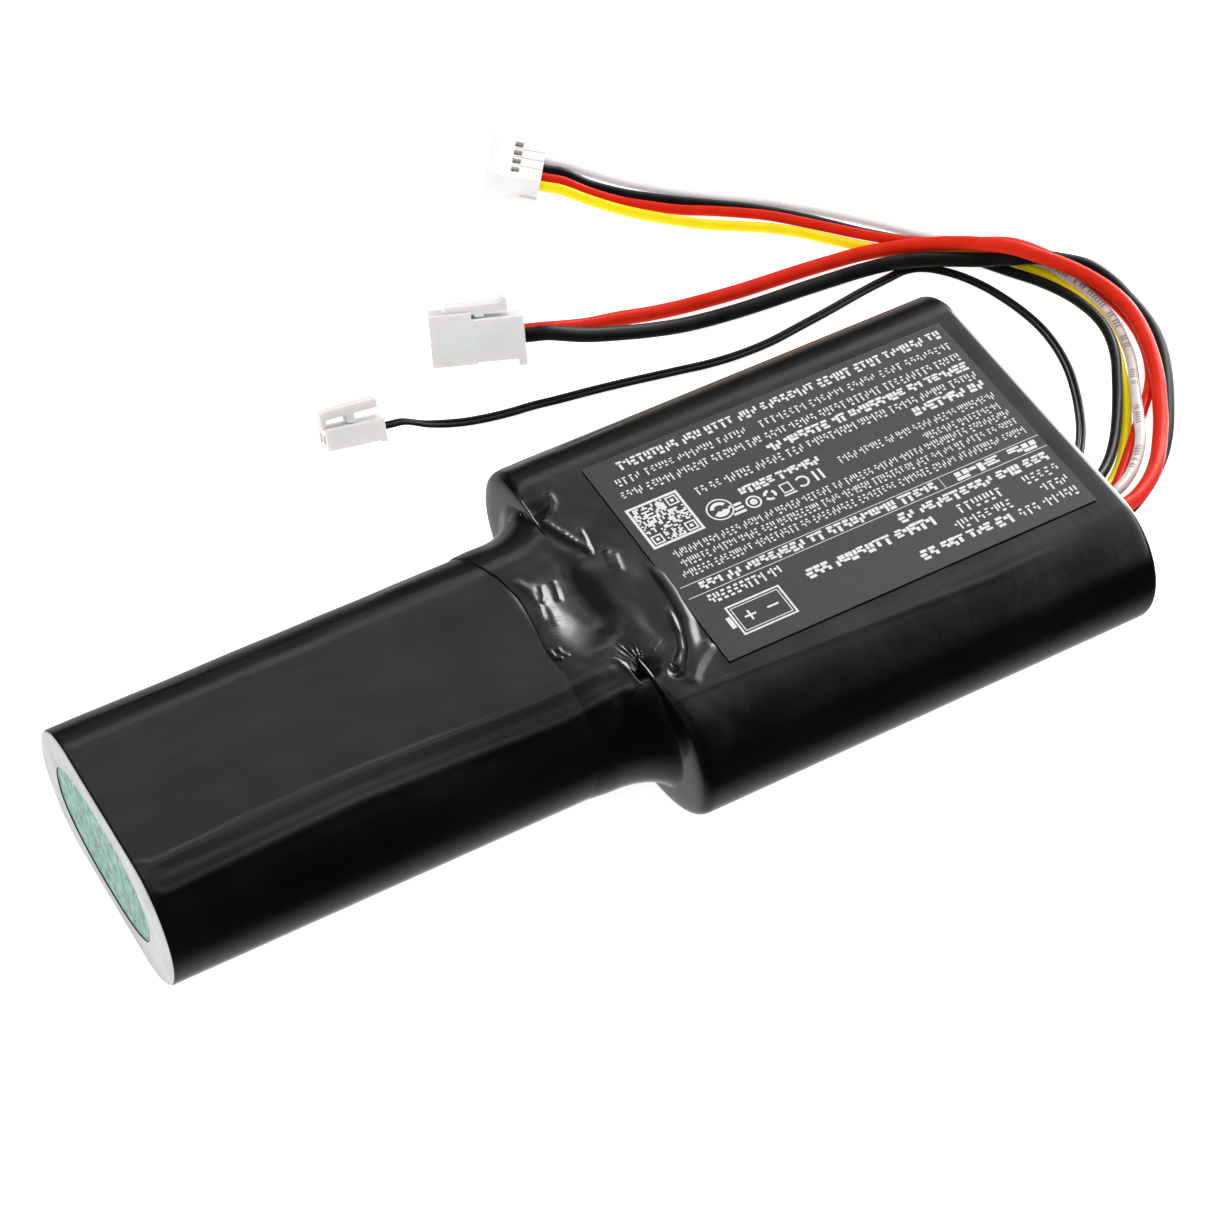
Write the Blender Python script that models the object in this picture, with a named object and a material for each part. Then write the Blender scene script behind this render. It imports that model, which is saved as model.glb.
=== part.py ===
"""Battery pack: five round cells in two shrink sleeves, with seven leads and three connectors.

Three cells lie side by side in the wide block and two in the narrow block in front of it.
X runs from the narrow end (-X) to the wire end (+X), Z is up, and the pack lies on Z = 0.
Lengths below are in millimetres and angles in degrees; MM turns lengths into metres.
"""
import math

import bmesh
import bpy
from mathutils import Euler, Matrix, Vector

MM = 0.001

# Driving dimensions of the pack
PACK_LENGTH = 133.58
FRONT = -PACK_LENGTH / 2          # outer face of the narrow end
REAR = PACK_LENGTH / 2            # outer face of the wire end
AXIS_HEIGHT = 9.7                 # height of every cell's axis
CELL_LENGTH = 64.85
CELL_RADIUS = 9.05                # over the printed wrap
CELL_PITCH = 18.9
NARROW_SHIFT = -0.8               # the narrow block sits this far to the -Y side
NARROW_CELLS = FRONT + 0.75       # where the narrow block's cells start
WIDE_CELLS = REAR - 1.63 - CELL_LENGTH
SIDES = 24                        # sides of a cell and of a sleeve's round edges

# Sleeves: the outer radius of the round edges, and the film's thickness
WIDE_RADIUS = 9.7
WIDE_FILM = 0.25
NARROW_RADIUS = 9.35
NARROW_FILM = 0.2
WIDE_FLAT = CELL_PITCH            # half width of the wide block's flat faces
NARROW_FLAT = CELL_PITCH / 2
NECK_EDGE = FRONT + 55.6          # the wide sleeve's edge, over the narrow block
WEB_START = FRONT + 60.0          # where the film starts to flare from the neck
WEB_DEPTH = 6.6
WEB_REACH = 5.35
WEB_FLAT_GAIN = 1.6
RIM_RADIUS = 1.0                  # film over the rim of the outer cells
RIM_START = FRONT + 66.7
END_ROUND = 0.7
WIDE_MOUTH = (17.0, 5.4)          # flat half width and radius of the mouth at the wire end
NARROW_MOUTH = (8.4, 4.8)

# Leads
POWER_WIRE = 2.1
TAP_WIRE = 1.5
SENSOR_WIRE = 0.68
SENSOR_SPACING = 0.8
INNER_WIRE = 0.8
HOLE_CLEARANCE = 0.3              # a connector's wire hole over its wire
WIRE_ENTRY = 1.0                  # how far a wire runs into its connector

# Connectors: place and attitude (yaw, pitch, roll) of the housing's centre, its length along
# the wires, width across them and height, and the distance from one contact to the next
BALANCE = {"place": (37.41, 87.6, 3.25), "turn": (-36, -8, -6), "size": (8.0, 9.4, 4.2),
           "pitch": 2.0, "ways": 4, "wire": TAP_WIRE, "cavity": 1.45, "contact": 1.1}
POWER = {"place": (15.41, 58.2, 5.25), "turn": (-24, 2.5, -37), "size": (12.9, 7.9, 5.8),
         "pitch": 3.96, "ways": 2, "wire": POWER_WIRE, "cavity": 2.9, "contact": 2.3}
SENSOR = {"place": (-6.79, 52.5, 3.1), "turn": (-10, -2.6, -36), "size": (8.2, 5.0, 2.9),
          "pitch": 2.0, "ways": 2, "wire": SENSOR_WIRE, "cavity": 1.3, "contact": 1.0}

# Routes of the leads, from the wire end's mouth to a few millimetres from the connector
POWER_RED_ROUTE = [
    (65.8, -12.9, 8.2), (67.6, -12.9, 8.2), (70.2, -12.8, 7.9), (75.1, -11.7, 6.8),
    (79.6, -9.2, 5.7), (83.5, -5.9, 4.6), (86.6, -2.4, 3.7), (89.3, 1.0, 3.2),
    (91.5, 4.3, 3.0), (93.6, 7.6, 2.9), (95.4, 11.1, 2.8), (96.8, 14.6, 2.8),
    (97.8, 18.1, 2.8), (98.3, 21.5, 2.8), (98.1, 25.0, 2.8), (97.0, 28.3, 3.1),
    (95.1, 31.3, 3.7), (92.3, 34.3, 4.5), (89.3, 37.4, 5.1), (86.3, 40.6, 4.5),
    (83.1, 43.4, 3.8), (79.6, 45.7, 3.1), (76.0, 47.8, 2.4), (72.1, 49.5, 1.7),
    (67.9, 50.6, 1.2), (63.3, 51.2, 1.1), (58.5, 51.6, 1.1), (53.9, 52.0, 1.1),
    (49.3, 52.6, 1.1), (44.9, 53.3, 1.1), (40.4, 53.9, 1.5), (35.6, 54.5, 2.3),
    (30.3, 54.9, 3.2)]
POWER_BLACK_ROUTE = [
    (65.8, -12.7, 5.9), (67.6, -12.7, 5.9), (70.2, -12.6, 5.5), (75.8, -10.6, 4.3),
    (80.7, -7.7, 3.0), (84.6, -4.8, 1.9), (87.7, -2.1, 1.3), (90.3, 0.7, 1.1),
    (92.6, 3.7, 1.1), (94.7, 6.7, 1.1), (96.7, 9.9, 1.1), (98.5, 13.3, 1.1),
    (99.8, 16.9, 1.1), (100.4, 20.6, 1.1), (100.5, 24.2, 1.1), (99.9, 27.6, 1.8),
    (98.3, 30.7, 2.7), (95.9, 33.5, 2.7), (93.1, 35.7, 2.8), (89.5, 37.5, 2.8),
    (85.8, 39.6, 2.5), (82.2, 41.8, 2.4), (78.5, 43.8, 2.4), (74.5, 45.5, 2.1),
    (70.4, 46.8, 1.5), (66.0, 47.6, 1.1), (61.3, 48.0, 1.1), (56.5, 48.3, 1.1),
    (51.9, 48.7, 1.1), (47.3, 49.3, 1.1), (42.8, 49.8, 1.5), (38.3, 50.4, 2.3),
    (33.6, 51.0, 3.5), (28.6, 51.7, 5.0)]
TAP_WHITE_ROUTE = [
    (65.8, -9.6, 7.6), (67.6, -9.6, 7.6), (70.2, -9.6, 7.4), (74.2, -9.1, 6.6),
    (77.7, -7.3, 5.9), (80.8, -4.9, 5.5), (83.6, -1.9, 5.3), (86.1, 1.9, 4.5),
    (88.7, 5.8, 3.2), (91.3, 9.8, 2.1), (93.7, 13.7, 1.4), (95.4, 17.6, 0.8),
    (96.4, 21.6, 0.8), (96.6, 25.7, 0.8), (96.1, 30.0, 0.8), (94.9, 34.0, 0.8),
    (93.1, 37.6, 0.8), (90.4, 41.0, 0.8), (87.4, 44.2, 0.8), (84.5, 47.2, 0.8),
    (81.9, 50.0, 0.8), (79.4, 53.1, 0.8), (76.6, 56.3, 0.8), (73.6, 59.5, 0.8),
    (70.4, 62.7, 0.8), (67.2, 65.7, 0.8), (63.8, 68.4, 0.8), (60.4, 71.0, 0.8),
    (57.0, 73.8, 0.8), (53.7, 76.9, 0.8), (50.6, 80.2, 0.8), (47.6, 83.4, 1.2)]
TAP_BLACK_ROUTE = [
    (65.8, -6.6, 5.7), (67.6, -6.6, 5.7), (70.2, -6.3, 5.2), (74.9, -4.5, 4.3),
    (78.8, -1.7, 3.1), (82.1, 1.5, 2.3), (84.9, 4.8, 1.9), (87.3, 8.0, 1.8),
    (89.4, 11.1, 2.0), (91.3, 14.1, 2.2), (92.7, 17.1, 2.3), (93.5, 19.8, 2.3),
    (93.8, 22.3, 2.2), (93.7, 25.1, 2.0), (93.1, 28.7, 1.6), (91.5, 32.9, 1.2),
    (89.2, 37.0, 0.8), (86.7, 40.8, 0.8), (84.4, 44.6, 0.8), (81.4, 47.8, 0.8),
    (78.3, 50.9, 0.8), (75.2, 54.1, 0.8), (72.3, 57.5, 0.8), (69.3, 60.9, 0.8),
    (66.2, 64.0, 0.8), (62.9, 66.9, 0.8), (59.5, 69.5, 0.8), (56.0, 72.2, 0.8),
    (52.6, 75.0, 0.8), (49.3, 78.1, 0.8), (46.3, 81.3, 1.1)]
TAP_RED_ROUTE = [
    (65.8, -10.4, 5.6), (67.6, -10.4, 5.6), (70.4, -10.0, 5.5), (73.2, -8.9, 5.1),
    (76.4, -6.8, 4.6), (79.8, -3.9, 3.9), (83.6, -0.5, 3.2), (87.6, 3.3, 2.2),
    (91.9, 7.3, 1.4), (94.8, 10.7, 0.8), (96.5, 13.7, 0.8), (97.6, 16.6, 0.8),
    (98.3, 19.7, 0.8), (98.5, 22.9, 0.8), (98.3, 26.4, 0.8), (97.7, 30.3, 0.8),
    (96.9, 34.1, 0.8), (95.0, 37.6, 1.4), (91.9, 40.4, 2.3), (88.0, 42.7, 2.4),
    (84.1, 44.8, 2.4), (80.6, 47.2, 2.1), (77.4, 49.9, 1.9), (74.4, 53.0, 1.7),
    (71.4, 56.3, 1.6), (68.4, 59.6, 1.5), (65.3, 62.7, 1.5), (62.0, 65.5, 1.3),
    (58.6, 68.1, 1.1), (55.1, 70.7, 0.8), (51.7, 73.5, 0.8), (48.4, 76.6, 0.8),
    (45.4, 79.7, 1.3)]
TAP_YELLOW_ROUTE = [
    (65.8, -8.4, 5.7), (67.6, -8.4, 5.7), (70.2, -8.3, 5.2), (75.0, -6.3, 3.7),
    (79.2, -3.4, 2.5), (82.5, -0.2, 1.5), (85.3, 3.0, 1.0), (87.8, 6.3, 0.8),
    (89.9, 9.6, 0.8), (91.7, 13.2, 0.8), (93.3, 16.8, 0.8), (94.5, 20.7, 0.8),
    (94.9, 25.0, 0.8), (94.3, 29.9, 0.8), (92.8, 34.6, 0.8), (90.4, 38.6, 1.0),
    (87.3, 41.2, 2.5), (83.4, 43.4, 1.9), (80.0, 45.9, 1.1), (76.8, 48.8, 0.8),
    (73.6, 51.8, 0.8), (70.6, 55.0, 0.8), (67.6, 58.3, 0.8), (64.4, 61.1, 0.8),
    (60.9, 63.5, 0.8), (57.3, 65.9, 0.8), (53.9, 68.7, 0.8), (50.7, 71.7, 0.8),
    (47.5, 75.0, 0.9), (44.4, 78.2, 1.5)]
SENSOR_ROUTE = [
    (65.8, -4.4, 5.3), (67.6, -4.4, 5.3), (70.2, -4.0, 4.4), (74.8, 0.0, 3.8),
    (78.8, 4.6, 2.6), (81.8, 9.1, 1.5), (84.1, 13.3, 0.7), (85.8, 17.4, 0.4),
    (86.8, 21.9, 0.4), (87.0, 26.6, 0.4), (86.1, 32.1, 0.4), (84.4, 37.2, 0.4),
    (82.0, 41.2, 0.4), (79.3, 43.8, 0.4), (76.8, 44.7, 0.4), (73.5, 44.5, 0.4),
    (68.8, 44.0, 0.4), (63.4, 43.2, 0.4), (57.9, 42.5, 0.4), (52.7, 41.9, 0.4),
    (47.8, 41.9, 0.4), (43.2, 42.4, 0.4), (38.9, 43.3, 0.4), (34.7, 44.2, 0.4),
    (30.4, 45.1, 0.4), (26.1, 45.9, 0.4), (21.8, 46.6, 0.4), (18.0, 47.3, 0.4),
    (14.8, 47.7, 0.4), (11.6, 48.3, 0.4), (7.8, 49.1, 0.7), (3.5, 50.3, 1.5)]


# Scene, materials and objects

def clear_scene():
    for item in list(bpy.data.objects):
        bpy.data.objects.remove(item, do_unlink=True)


def material(name, colour, roughness, metallic=0.0):
    made = bpy.data.materials.new(name)
    made.use_nodes = True
    shader = made.node_tree.nodes["Principled BSDF"]
    shader.inputs["Base Color"].default_value = (*colour, 1.0)
    shader.inputs["Roughness"].default_value = roughness
    shader.inputs["Metallic"].default_value = metallic
    return made


def add_object(name, bm, made_of, parent=None):
    """Turn a bmesh in millimetres into an object in metres."""
    bm.transform(Matrix.Scale(MM, 4))
    mesh = bpy.data.meshes.new(name)
    bm.to_mesh(mesh)
    bm.free()
    mesh.shade_smooth()
    mesh.set_sharp_from_angle(angle=math.radians(35))
    item = bpy.data.objects.new(name, mesh)
    bpy.context.scene.collection.objects.link(item)
    if made_of:
        mesh.materials.append(made_of)
    item.parent = parent
    return item


def combine(item, operation, name, bm):
    """Add a Boolean modifier to an object, with its tool as a hidden object."""
    tool = add_object(name, bm, None, item.parent)
    tool.hide_render = True
    tool.display_type = "WIRE"
    step = item.modifiers.new(name, "BOOLEAN")
    step.operation = operation
    step.solver = "EXACT"
    step.object = tool


# Shapes, in millimetres

def loft(rings, closed=False):
    """A body through rings of points. A ring of one point is a pole; open ends are capped."""
    bm = bmesh.new()
    loops = [[bm.verts.new(point) for point in ring] for ring in rings]
    pairs = list(zip(loops, loops[1:]))
    if closed:
        pairs.append((loops[-1], loops[0]))
    for first, second in pairs:
        count = max(len(first), len(second))
        for i in range(count):
            j = (i + 1) % count
            corners = [first[i % len(first)], first[j % len(first)],
                       second[j % len(second)], second[i % len(second)]]
            bm.faces.new(list(dict.fromkeys(corners)))
    if not closed:
        for end in (loops[0], loops[-1]):
            if len(end) > 1:
                bm.faces.new(end)
    bmesh.ops.recalc_face_normals(bm, faces=bm.faces)
    return bm


def boxes(corners):
    """Separate boxes, each given by its low and its high corner."""
    bm = bmesh.new()
    for low, high in corners:
        low, high = Vector(low), Vector(high)
        place = Matrix.Translation((low + high) / 2) @ Matrix.Diagonal((*(high - low), 1.0))
        bmesh.ops.create_cube(bm, size=1.0, matrix=place)
    return bm


def rods(places, radius, start, end, sides=12):
    """Separate round rods along X, one at each (y, z)."""
    bm = bmesh.new()
    for y, z in places:
        middle = Matrix.Translation(((start + end) / 2, y, z))
        bmesh.ops.create_cone(bm, cap_ends=True, segments=sides, radius1=radius, radius2=radius,
                              depth=end - start, matrix=middle @ Matrix.Rotation(math.pi / 2, 4, "Y"))
    return bm


def turned(profile, closed=False):
    """A profile of (x, radius) turned about the X axis."""
    rings = []
    for x, radius in profile:
        if radius == 0:
            rings.append([(x, 0, 0)])
            continue
        steps = [2 * math.pi * k / SIDES for k in range(SIDES)]
        rings.append([(x, radius * math.cos(a), radius * math.sin(a)) for a in steps])
    return loft(rings, closed)


def slab(outline, low, high, along="x"):
    """A flat outline carried from low to high along X, from points (y, z), or along Y, from (x, z)."""
    if along == "x":
        return loft([[(value, a, b) for a, b in outline] for value in (low, high)])
    return loft([[(a, value, b) for a, b in outline] for value in (low, high)])


def stadium(x, flat, wide, high=None, y=0.0):
    """The section of a row of cells: flat top and bottom, and round or elliptical sides."""
    high = wide if high is None else high
    half = SIDES // 2
    ring = []
    for side, first in ((1, -90), (-1, 90)):
        for k in range(half + 1):
            a = math.radians(first + 180 * k / half)
            ring.append((x, y + side * flat + wide * math.cos(a), AXIS_HEIGHT + high * math.sin(a)))
    return ring


# Sleeves, label and papers

def wide_sections(inset):
    """The wide sleeve's sections from neck to wire end, as the surface lies `inset` inside the film."""
    radius = WIDE_RADIUS - inset
    neck = NARROW_FLAT + WIDE_RADIUS
    rings = [stadium(NECK_EDGE, NARROW_FLAT, radius, y=NARROW_SHIFT)]
    for angle in (0, 24, 42, 57, 70, 82):
        a = math.radians(angle)
        grown = 1 - math.cos(a)
        flat = NARROW_FLAT + WEB_FLAT_GAIN * grown
        width = neck + WEB_REACH * grown - inset * math.cos(a)
        x = WEB_START + WEB_DEPTH * math.sin(a) + inset * math.sin(a)
        rings.append(stadium(x, flat, width - flat, radius, NARROW_SHIFT * (1 - grown)))
    for angle in (0, 35, 90):
        a = math.radians(angle)
        x = RIM_START + RIM_RADIUS - (RIM_RADIUS - inset) * math.cos(a)
        flat = WIDE_FLAT - RIM_RADIUS * (1 - math.sin(a))
        rings.append(stadium(x, flat, radius))
    for angle in (0, 45, 90):
        a = math.radians(angle)
        x = REAR - END_ROUND + (END_ROUND - inset) * math.sin(a)
        rings.append(stadium(x, WIDE_FLAT, WIDE_RADIUS - END_ROUND + (END_ROUND - inset) * math.cos(a)))
    rings.append(stadium(REAR - inset, *WIDE_MOUTH))
    return rings


def narrow_sections(inset):
    """The narrow sleeve's sections from the mouth at the narrow end to its edge under the wide sleeve."""
    rings = [stadium(FRONT + inset, *NARROW_MOUTH, y=NARROW_SHIFT)]
    for angle in (90, 45, 0):
        a = math.radians(angle)
        x = FRONT + END_ROUND - (END_ROUND - inset) * math.sin(a)
        radius = NARROW_RADIUS - END_ROUND + (END_ROUND - inset) * math.cos(a)
        rings.append(stadium(x, NARROW_FLAT, radius, y=NARROW_SHIFT))
    rings.append(stadium(FRONT + 65.4, NARROW_FLAT, NARROW_RADIUS - inset, y=NARROW_SHIFT))
    return rings


def make_sleeves():
    film = material("black_film", (0.012, 0.012, 0.014), 0.28)
    wide = wide_sections(0.0) + wide_sections(WIDE_FILM)[::-1]
    add_object("wide_sleeve", loft(wide, closed=True), film)
    inner_film = material("black_film_narrow", (0.012, 0.012, 0.014), 0.3)
    narrow = narrow_sections(0.0) + narrow_sections(NARROW_FILM)[::-1]
    add_object("narrow_sleeve", loft(narrow, closed=True), inner_film)


def make_label():
    paper = material("label_black", (0.03, 0.03, 0.035), 0.55)
    top = AXIS_HEIGHT + WIDE_RADIUS
    low = (FRONT + 75.8, -18.2, top + 0.1)
    high = (FRONT + 129.9, 18.1, top + 0.22)
    add_object("rating_label", boxes([(low, high)]), paper)


def make_papers():
    paper = material("insulating_paper", (0.03, 0.08, 0.05), 0.9)
    front = [stadium(FRONT + x, NARROW_FLAT, 8.5, y=NARROW_SHIFT) for x in (0.3, 0.43)]
    add_object("paper_narrow_end", loft(front), paper)
    rear = [stadium(REAR - x, WIDE_FLAT, 8.5) for x in (0.83, 0.68)]
    wire_end = add_object("paper_wire_end", loft(rear), paper)
    slot = boxes([((REAR - 1.2, -14.4, 4.2), (REAR - 0.3, -3.2, 9.9))])
    combine(wire_end, "DIFFERENCE", "wire_slot_cutter", slot)
    middle = boxes([((FRONT + 66.25, -17, 4.2), (FRONT + 66.4, 17, 17.5))])
    add_object("paper_middle", middle, paper)


# Cells and the strips that join them

CELLS = [  # start along X, place across, and whether the positive end looks to the wire end
    ("cell_1", WIDE_CELLS, -CELL_PITCH, False),
    ("cell_2", NARROW_CELLS, -CELL_PITCH / 2 + NARROW_SHIFT, False),
    ("cell_3", NARROW_CELLS, CELL_PITCH / 2 + NARROW_SHIFT, True),
    ("cell_4", WIDE_CELLS, CELL_PITCH, True),
    ("cell_5", WIDE_CELLS, 0.0, False)]


def can_profile():
    """Steel can: round bottom edge, a rolled groove near the open end, and a crimped lip."""
    radius, top = CELL_RADIUS - 0.18, CELL_LENGTH - 0.35
    return [(0, 0), (0, radius - 0.6), (0.18, radius - 0.18), (0.6, radius),
            (top - 3.2, radius), (top - 2.7, radius - 0.45), (top - 2.2, radius - 0.45), (top - 1.7, radius),
            (top - 0.5, radius), (top, radius - 0.5), (top, 6.9), (top - 0.85, 6.9), (top - 0.85, 0)]


def make_cells():
    steel = material("can_steel", (0.55, 0.55, 0.56), 0.3, 1.0)
    wrap = material("cell_wrap", (0.05, 0.25, 0.4), 0.4)
    cap = material("cap_steel", (0.62, 0.62, 0.63), 0.25, 1.0)
    gasket = material("cell_gasket", (0.85, 0.85, 0.8), 0.6)
    end = CELL_LENGTH
    sleeve = [(0.6, CELL_RADIUS), (end - 1.0, CELL_RADIUS), (end - 1.0, CELL_RADIUS - 0.11),
              (0.6, CELL_RADIUS - 0.11)]
    button = [(end - 1.1, 0), (end - 1.1, 6.5), (end - 0.75, 6.5), (end - 0.75, 4.4), (end, 4.1), (end, 0)]
    washer = [(end - 0.27, 8.2), (end - 0.12, 8.2), (end - 0.12, 5.2), (end - 0.27, 5.2)]
    pieces = [("can", can_profile(), False, steel), ("wrap", sleeve, True, wrap),
              ("cap", button, False, cap), ("gasket", washer, True, gasket)]
    for cell, start, y, forward in CELLS:
        for piece, profile, closed, made_of in pieces:
            item = add_object(f"{cell}_{piece}", turned(profile, closed), made_of)
            x = start if forward else start + CELL_LENGTH
            item.location = Vector((x, y, AXIS_HEIGHT)) * MM
            item.rotation_euler = (0, 0, 0 if forward else math.pi)


def make_tabs():
    nickel = material("nickel_strip", (0.7, 0.68, 0.64), 0.3, 1.0)
    rear = WIDE_CELLS + CELL_LENGTH + 0.1
    across = boxes([((rear, -2.5, 5.8), (rear + 0.12, 21.5, 13.6))])
    add_object("tab_4_5", across, nickel)
    negative = boxes([((rear, -23.5, 5.8), (rear + 0.12, -13.8, 13.6))])
    add_object("tab_negative", negative, nickel)
    front = FRONT + 0.5
    tee = [(-12.0, 5.8), (-2.0, 5.8), (-2.0, 1.2), (0.4, 1.2), (0.4, 5.8), (10.4, 5.8),
           (10.4, 13.6), (-12.0, 13.6)]
    add_object("tab_2_3", slab(tee, front, front + 0.12), nickel)
    near, far = NARROW_CELLS + CELL_LENGTH + 0.1, WIDE_CELLS - 0.1
    ell = [(-7.6, 2.0), (-5.4, 2.0), (-5.4, 5.8), (4.0, 5.8), (4.0, 13.6), (-7.6, 13.6)]
    add_object("tab_positive", slab(ell, far - 0.12, far), nickel)
    fold = [(near, 12.5), (near, 0.9), (far, 0.9), (far, 12.5), (far - 0.12, 12.5),
            (far - 0.12, 1.02), (near + 0.12, 1.02), (near + 0.12, 12.5)]
    for name, low, high in (("tab_1_2", -13.4, -9.4), ("tab_3_4", 9.0, 13.0)):
        tab = add_object(name, slab(fold, low, high, along="y"), nickel)
        ends = sorted((math.copysign(12.0, low), math.copysign(18.5, low)))
        head = boxes([((far - 0.12, ends[0], 6.5), (far, ends[1], 12.5))])
        combine(tab, "UNION", name + "_head", head)


# Leads

def smooth(points, step):
    """Points about `step` apart along a centripetal Catmull-Rom curve through a route's points."""
    route = [Vector(point) for point in points]
    route = [2 * route[0] - route[1]] + route + [2 * route[-1] - route[-2]]
    dense = []
    for a, b, c, d in zip(route, route[1:], route[2:], route[3:]):
        t1 = math.sqrt((b - a).length)
        t2 = t1 + math.sqrt((c - b).length)
        t3 = t2 + math.sqrt((d - c).length)
        for k in range(12):
            t = t1 + (t2 - t1) * k / 12
            ab = a.lerp(b, t / t1)
            bc = b.lerp(c, (t - t1) / (t2 - t1))
            cd = c.lerp(d, (t - t2) / (t3 - t2))
            dense.append(ab.lerp(bc, t / t2).lerp(bc.lerp(cd, (t - t1) / (t3 - t1)), (t - t1) / (t2 - t1)))
    dense.append(route[-2])
    run = [0.0]
    for first, second in zip(dense, dense[1:]):
        run.append(run[-1] + (second - first).length)
    count = max(2, round(run[-1] / step) + 1)
    line, j = [], 0
    for k in range(count):
        want = run[-1] * k / (count - 1)
        while j < len(run) - 2 and run[j + 1] < want:
            j += 1
        line.append(dense[j].lerp(dense[j + 1], (want - run[j]) / (run[j + 1] - run[j])))
    return line


def add_wire(name, line, diameter, made_of):
    curve = bpy.data.curves.new(name, "CURVE")
    curve.dimensions = "3D"
    curve.bevel_depth = diameter / 2 * MM
    curve.bevel_resolution = 2
    curve.use_fill_caps = True
    spline = curve.splines.new("POLY")
    spline.points.add(len(line) - 1)
    for point, place in zip(spline.points, line):
        point.co = (*(place * MM), 1.0)
    curve.materials.append(made_of)
    item = bpy.data.objects.new(name, curve)
    bpy.context.scene.collection.objects.link(item)


def attitude(connector):
    yaw, pitch, roll = (math.radians(angle) for angle in connector["turn"])
    return Euler((roll, -pitch, yaw), "XYZ")


def ways(connector):
    """Distances of the contacts across the housing, from its -Y side to its +Y side."""
    middle = (connector["ways"] - 1) / 2
    return [(k - middle) * connector["pitch"] for k in range(connector["ways"])]


def seat(connector, across):
    """The last points of a wire, straight into the housing's hole at this distance across."""
    turn = attitude(connector).to_matrix()
    rear = connector["size"][0] / 2
    ahead = (3.0, 1.2, -WIRE_ENTRY)
    return [Vector(connector["place"]) + turn @ Vector((rear + x, across, 0)) for x in ahead]


def make_leads():
    leads = [
        ("wire_power_red", POWER_RED_ROUTE, POWER, 1, (0.7, 0.03, 0.01)),
        ("wire_power_black", POWER_BLACK_ROUTE, POWER, 0, (0.02, 0.02, 0.02)),
        ("wire_tap_white", TAP_WHITE_ROUTE, BALANCE, 3, (0.75, 0.7, 0.7)),
        ("wire_tap_black", TAP_BLACK_ROUTE, BALANCE, 2, (0.02, 0.02, 0.02)),
        ("wire_tap_red", TAP_RED_ROUTE, BALANCE, 1, (0.6, 0.02, 0.01)),
        ("wire_tap_yellow", TAP_YELLOW_ROUTE, BALANCE, 0, (0.8, 0.65, 0.05))]
    for name, route, connector, way, colour in leads:
        diameter = connector["wire"]
        points = route + seat(connector, ways(connector)[way])
        line = smooth(points, 2.3 * diameter)
        add_wire(name, line, diameter, material(name + "_jacket", colour, 0.4))
    make_sensor_pair()


def make_sensor_pair():
    """Two fine wires side by side, which part just before they enter their connector."""
    line = smooth(SENSOR_ROUTE + seat(SENSOR, 0.0), 2.9 * SENSOR_WIRE)
    row = attitude(SENSOR).to_matrix() @ Vector((0, 1, 0))
    black = material("sensor_jacket", (0.02, 0.02, 0.02), 0.45)
    for name, side in (("wire_sensor_a", 1), ("wire_sensor_b", -1)):
        shifted = []
        for k, place in enumerate(line):
            ahead = line[min(k + 1, len(line) - 1)] - line[max(k - 1, 0)]
            beside = Vector((ahead.y, -ahead.x, 0)).normalized() * SENSOR_SPACING / 2
            left = (line[-1] - place).length
            part = min(max((left - 4.5) / 7.0, 0.0), 1.0)
            part = part * part * (3 - 2 * part)
            shifted.append(place + side * (row * SENSOR["pitch"] / 2).lerp(beside, part))
        add_wire(name, shifted, SENSOR_WIRE, black)


def make_inner_leads():
    """Insulated leads in the valleys between the cells, from the strips to the wire end."""
    jacket = material("inner_jacket", (0.15, 0.15, 0.4), 0.5)
    end = WIDE_CELLS + CELL_LENGTH - 0.4
    start = WIDE_CELLS + 0.25
    gap = FRONT + 66.35
    add_wire("inner_lead_positive", [Vector((x, -7.3, 2.6)) for x in (start, end)], 1.6, jacket)
    add_wire("inner_lead_1_2", [Vector((x, -10.6, 2.0)) for x in (start, end)], INNER_WIRE, jacket)
    turn_3_4 = [(gap, 8.6, 1.45), (gap, 5.0, 1.25), (gap, 0.0, 1.25), (gap, -3.4, 1.25),
                (gap + 0.3, -4.9, 1.2), (gap + 1.4, -5.6, 1.15), (gap + 4, -5.6, 1.1), (end, -5.6, 1.1)]
    add_wire("inner_lead_3_4", [Vector(p) for p in turn_3_4], INNER_WIRE, jacket)
    turn_2_3 = [(FRONT + 0.95, -0.8, 1.9), (gap - 3, -0.8, 1.9), (gap - 1.2, -1.0, 2.2),
                (gap - 0.3, -2.6, 2.6), (gap, -4.6, 2.9), (gap, -7.6, 3.1), (gap + 0.15, -8.5, 3.2),
                (gap + 1.0, -8.6, 3.3), (gap + 3, -8.6, 3.3), (end, -8.6, 3.3)]
    add_wire("inner_lead_2_3", [Vector(p) for p in turn_2_3], INNER_WIRE, jacket)


def make_fillers():
    """The temperature bead and the adhesive that lie between the cells."""
    glass = material("thermistor_epoxy", (0.02, 0.02, 0.02), 0.2)
    profile = [(-2.0, 0), (-1.5, 0.6), (-0.4, 0.9), (0.8, 0.8), (2.0, 0.35), (2.6, 0)]
    bead = add_object("thermistor_bead", turned(profile), glass)
    bead.location = Vector((REAR - 6.0, -CELL_PITCH / 2, 5.0)) * MM
    glue = material("adhesive", (0.8, 0.78, 0.7), 0.6)
    start = WIDE_CELLS + 12
    ribbon = rods([(CELL_PITCH / 2, 16.3)], 2.2, start, start + 40)
    add_object("adhesive_bead", ribbon, glue)


# Connectors. In a connector's own axes +X points out along its wires, Y runs across the
# contacts and +Z is the face with the latch or the windows.

def hang(name, connector):
    frame = bpy.data.objects.new(name, None)
    bpy.context.scene.collection.objects.link(frame)
    frame.location = Vector(connector["place"]) * MM
    frame.rotation_euler = attitude(connector)
    return frame


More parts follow.
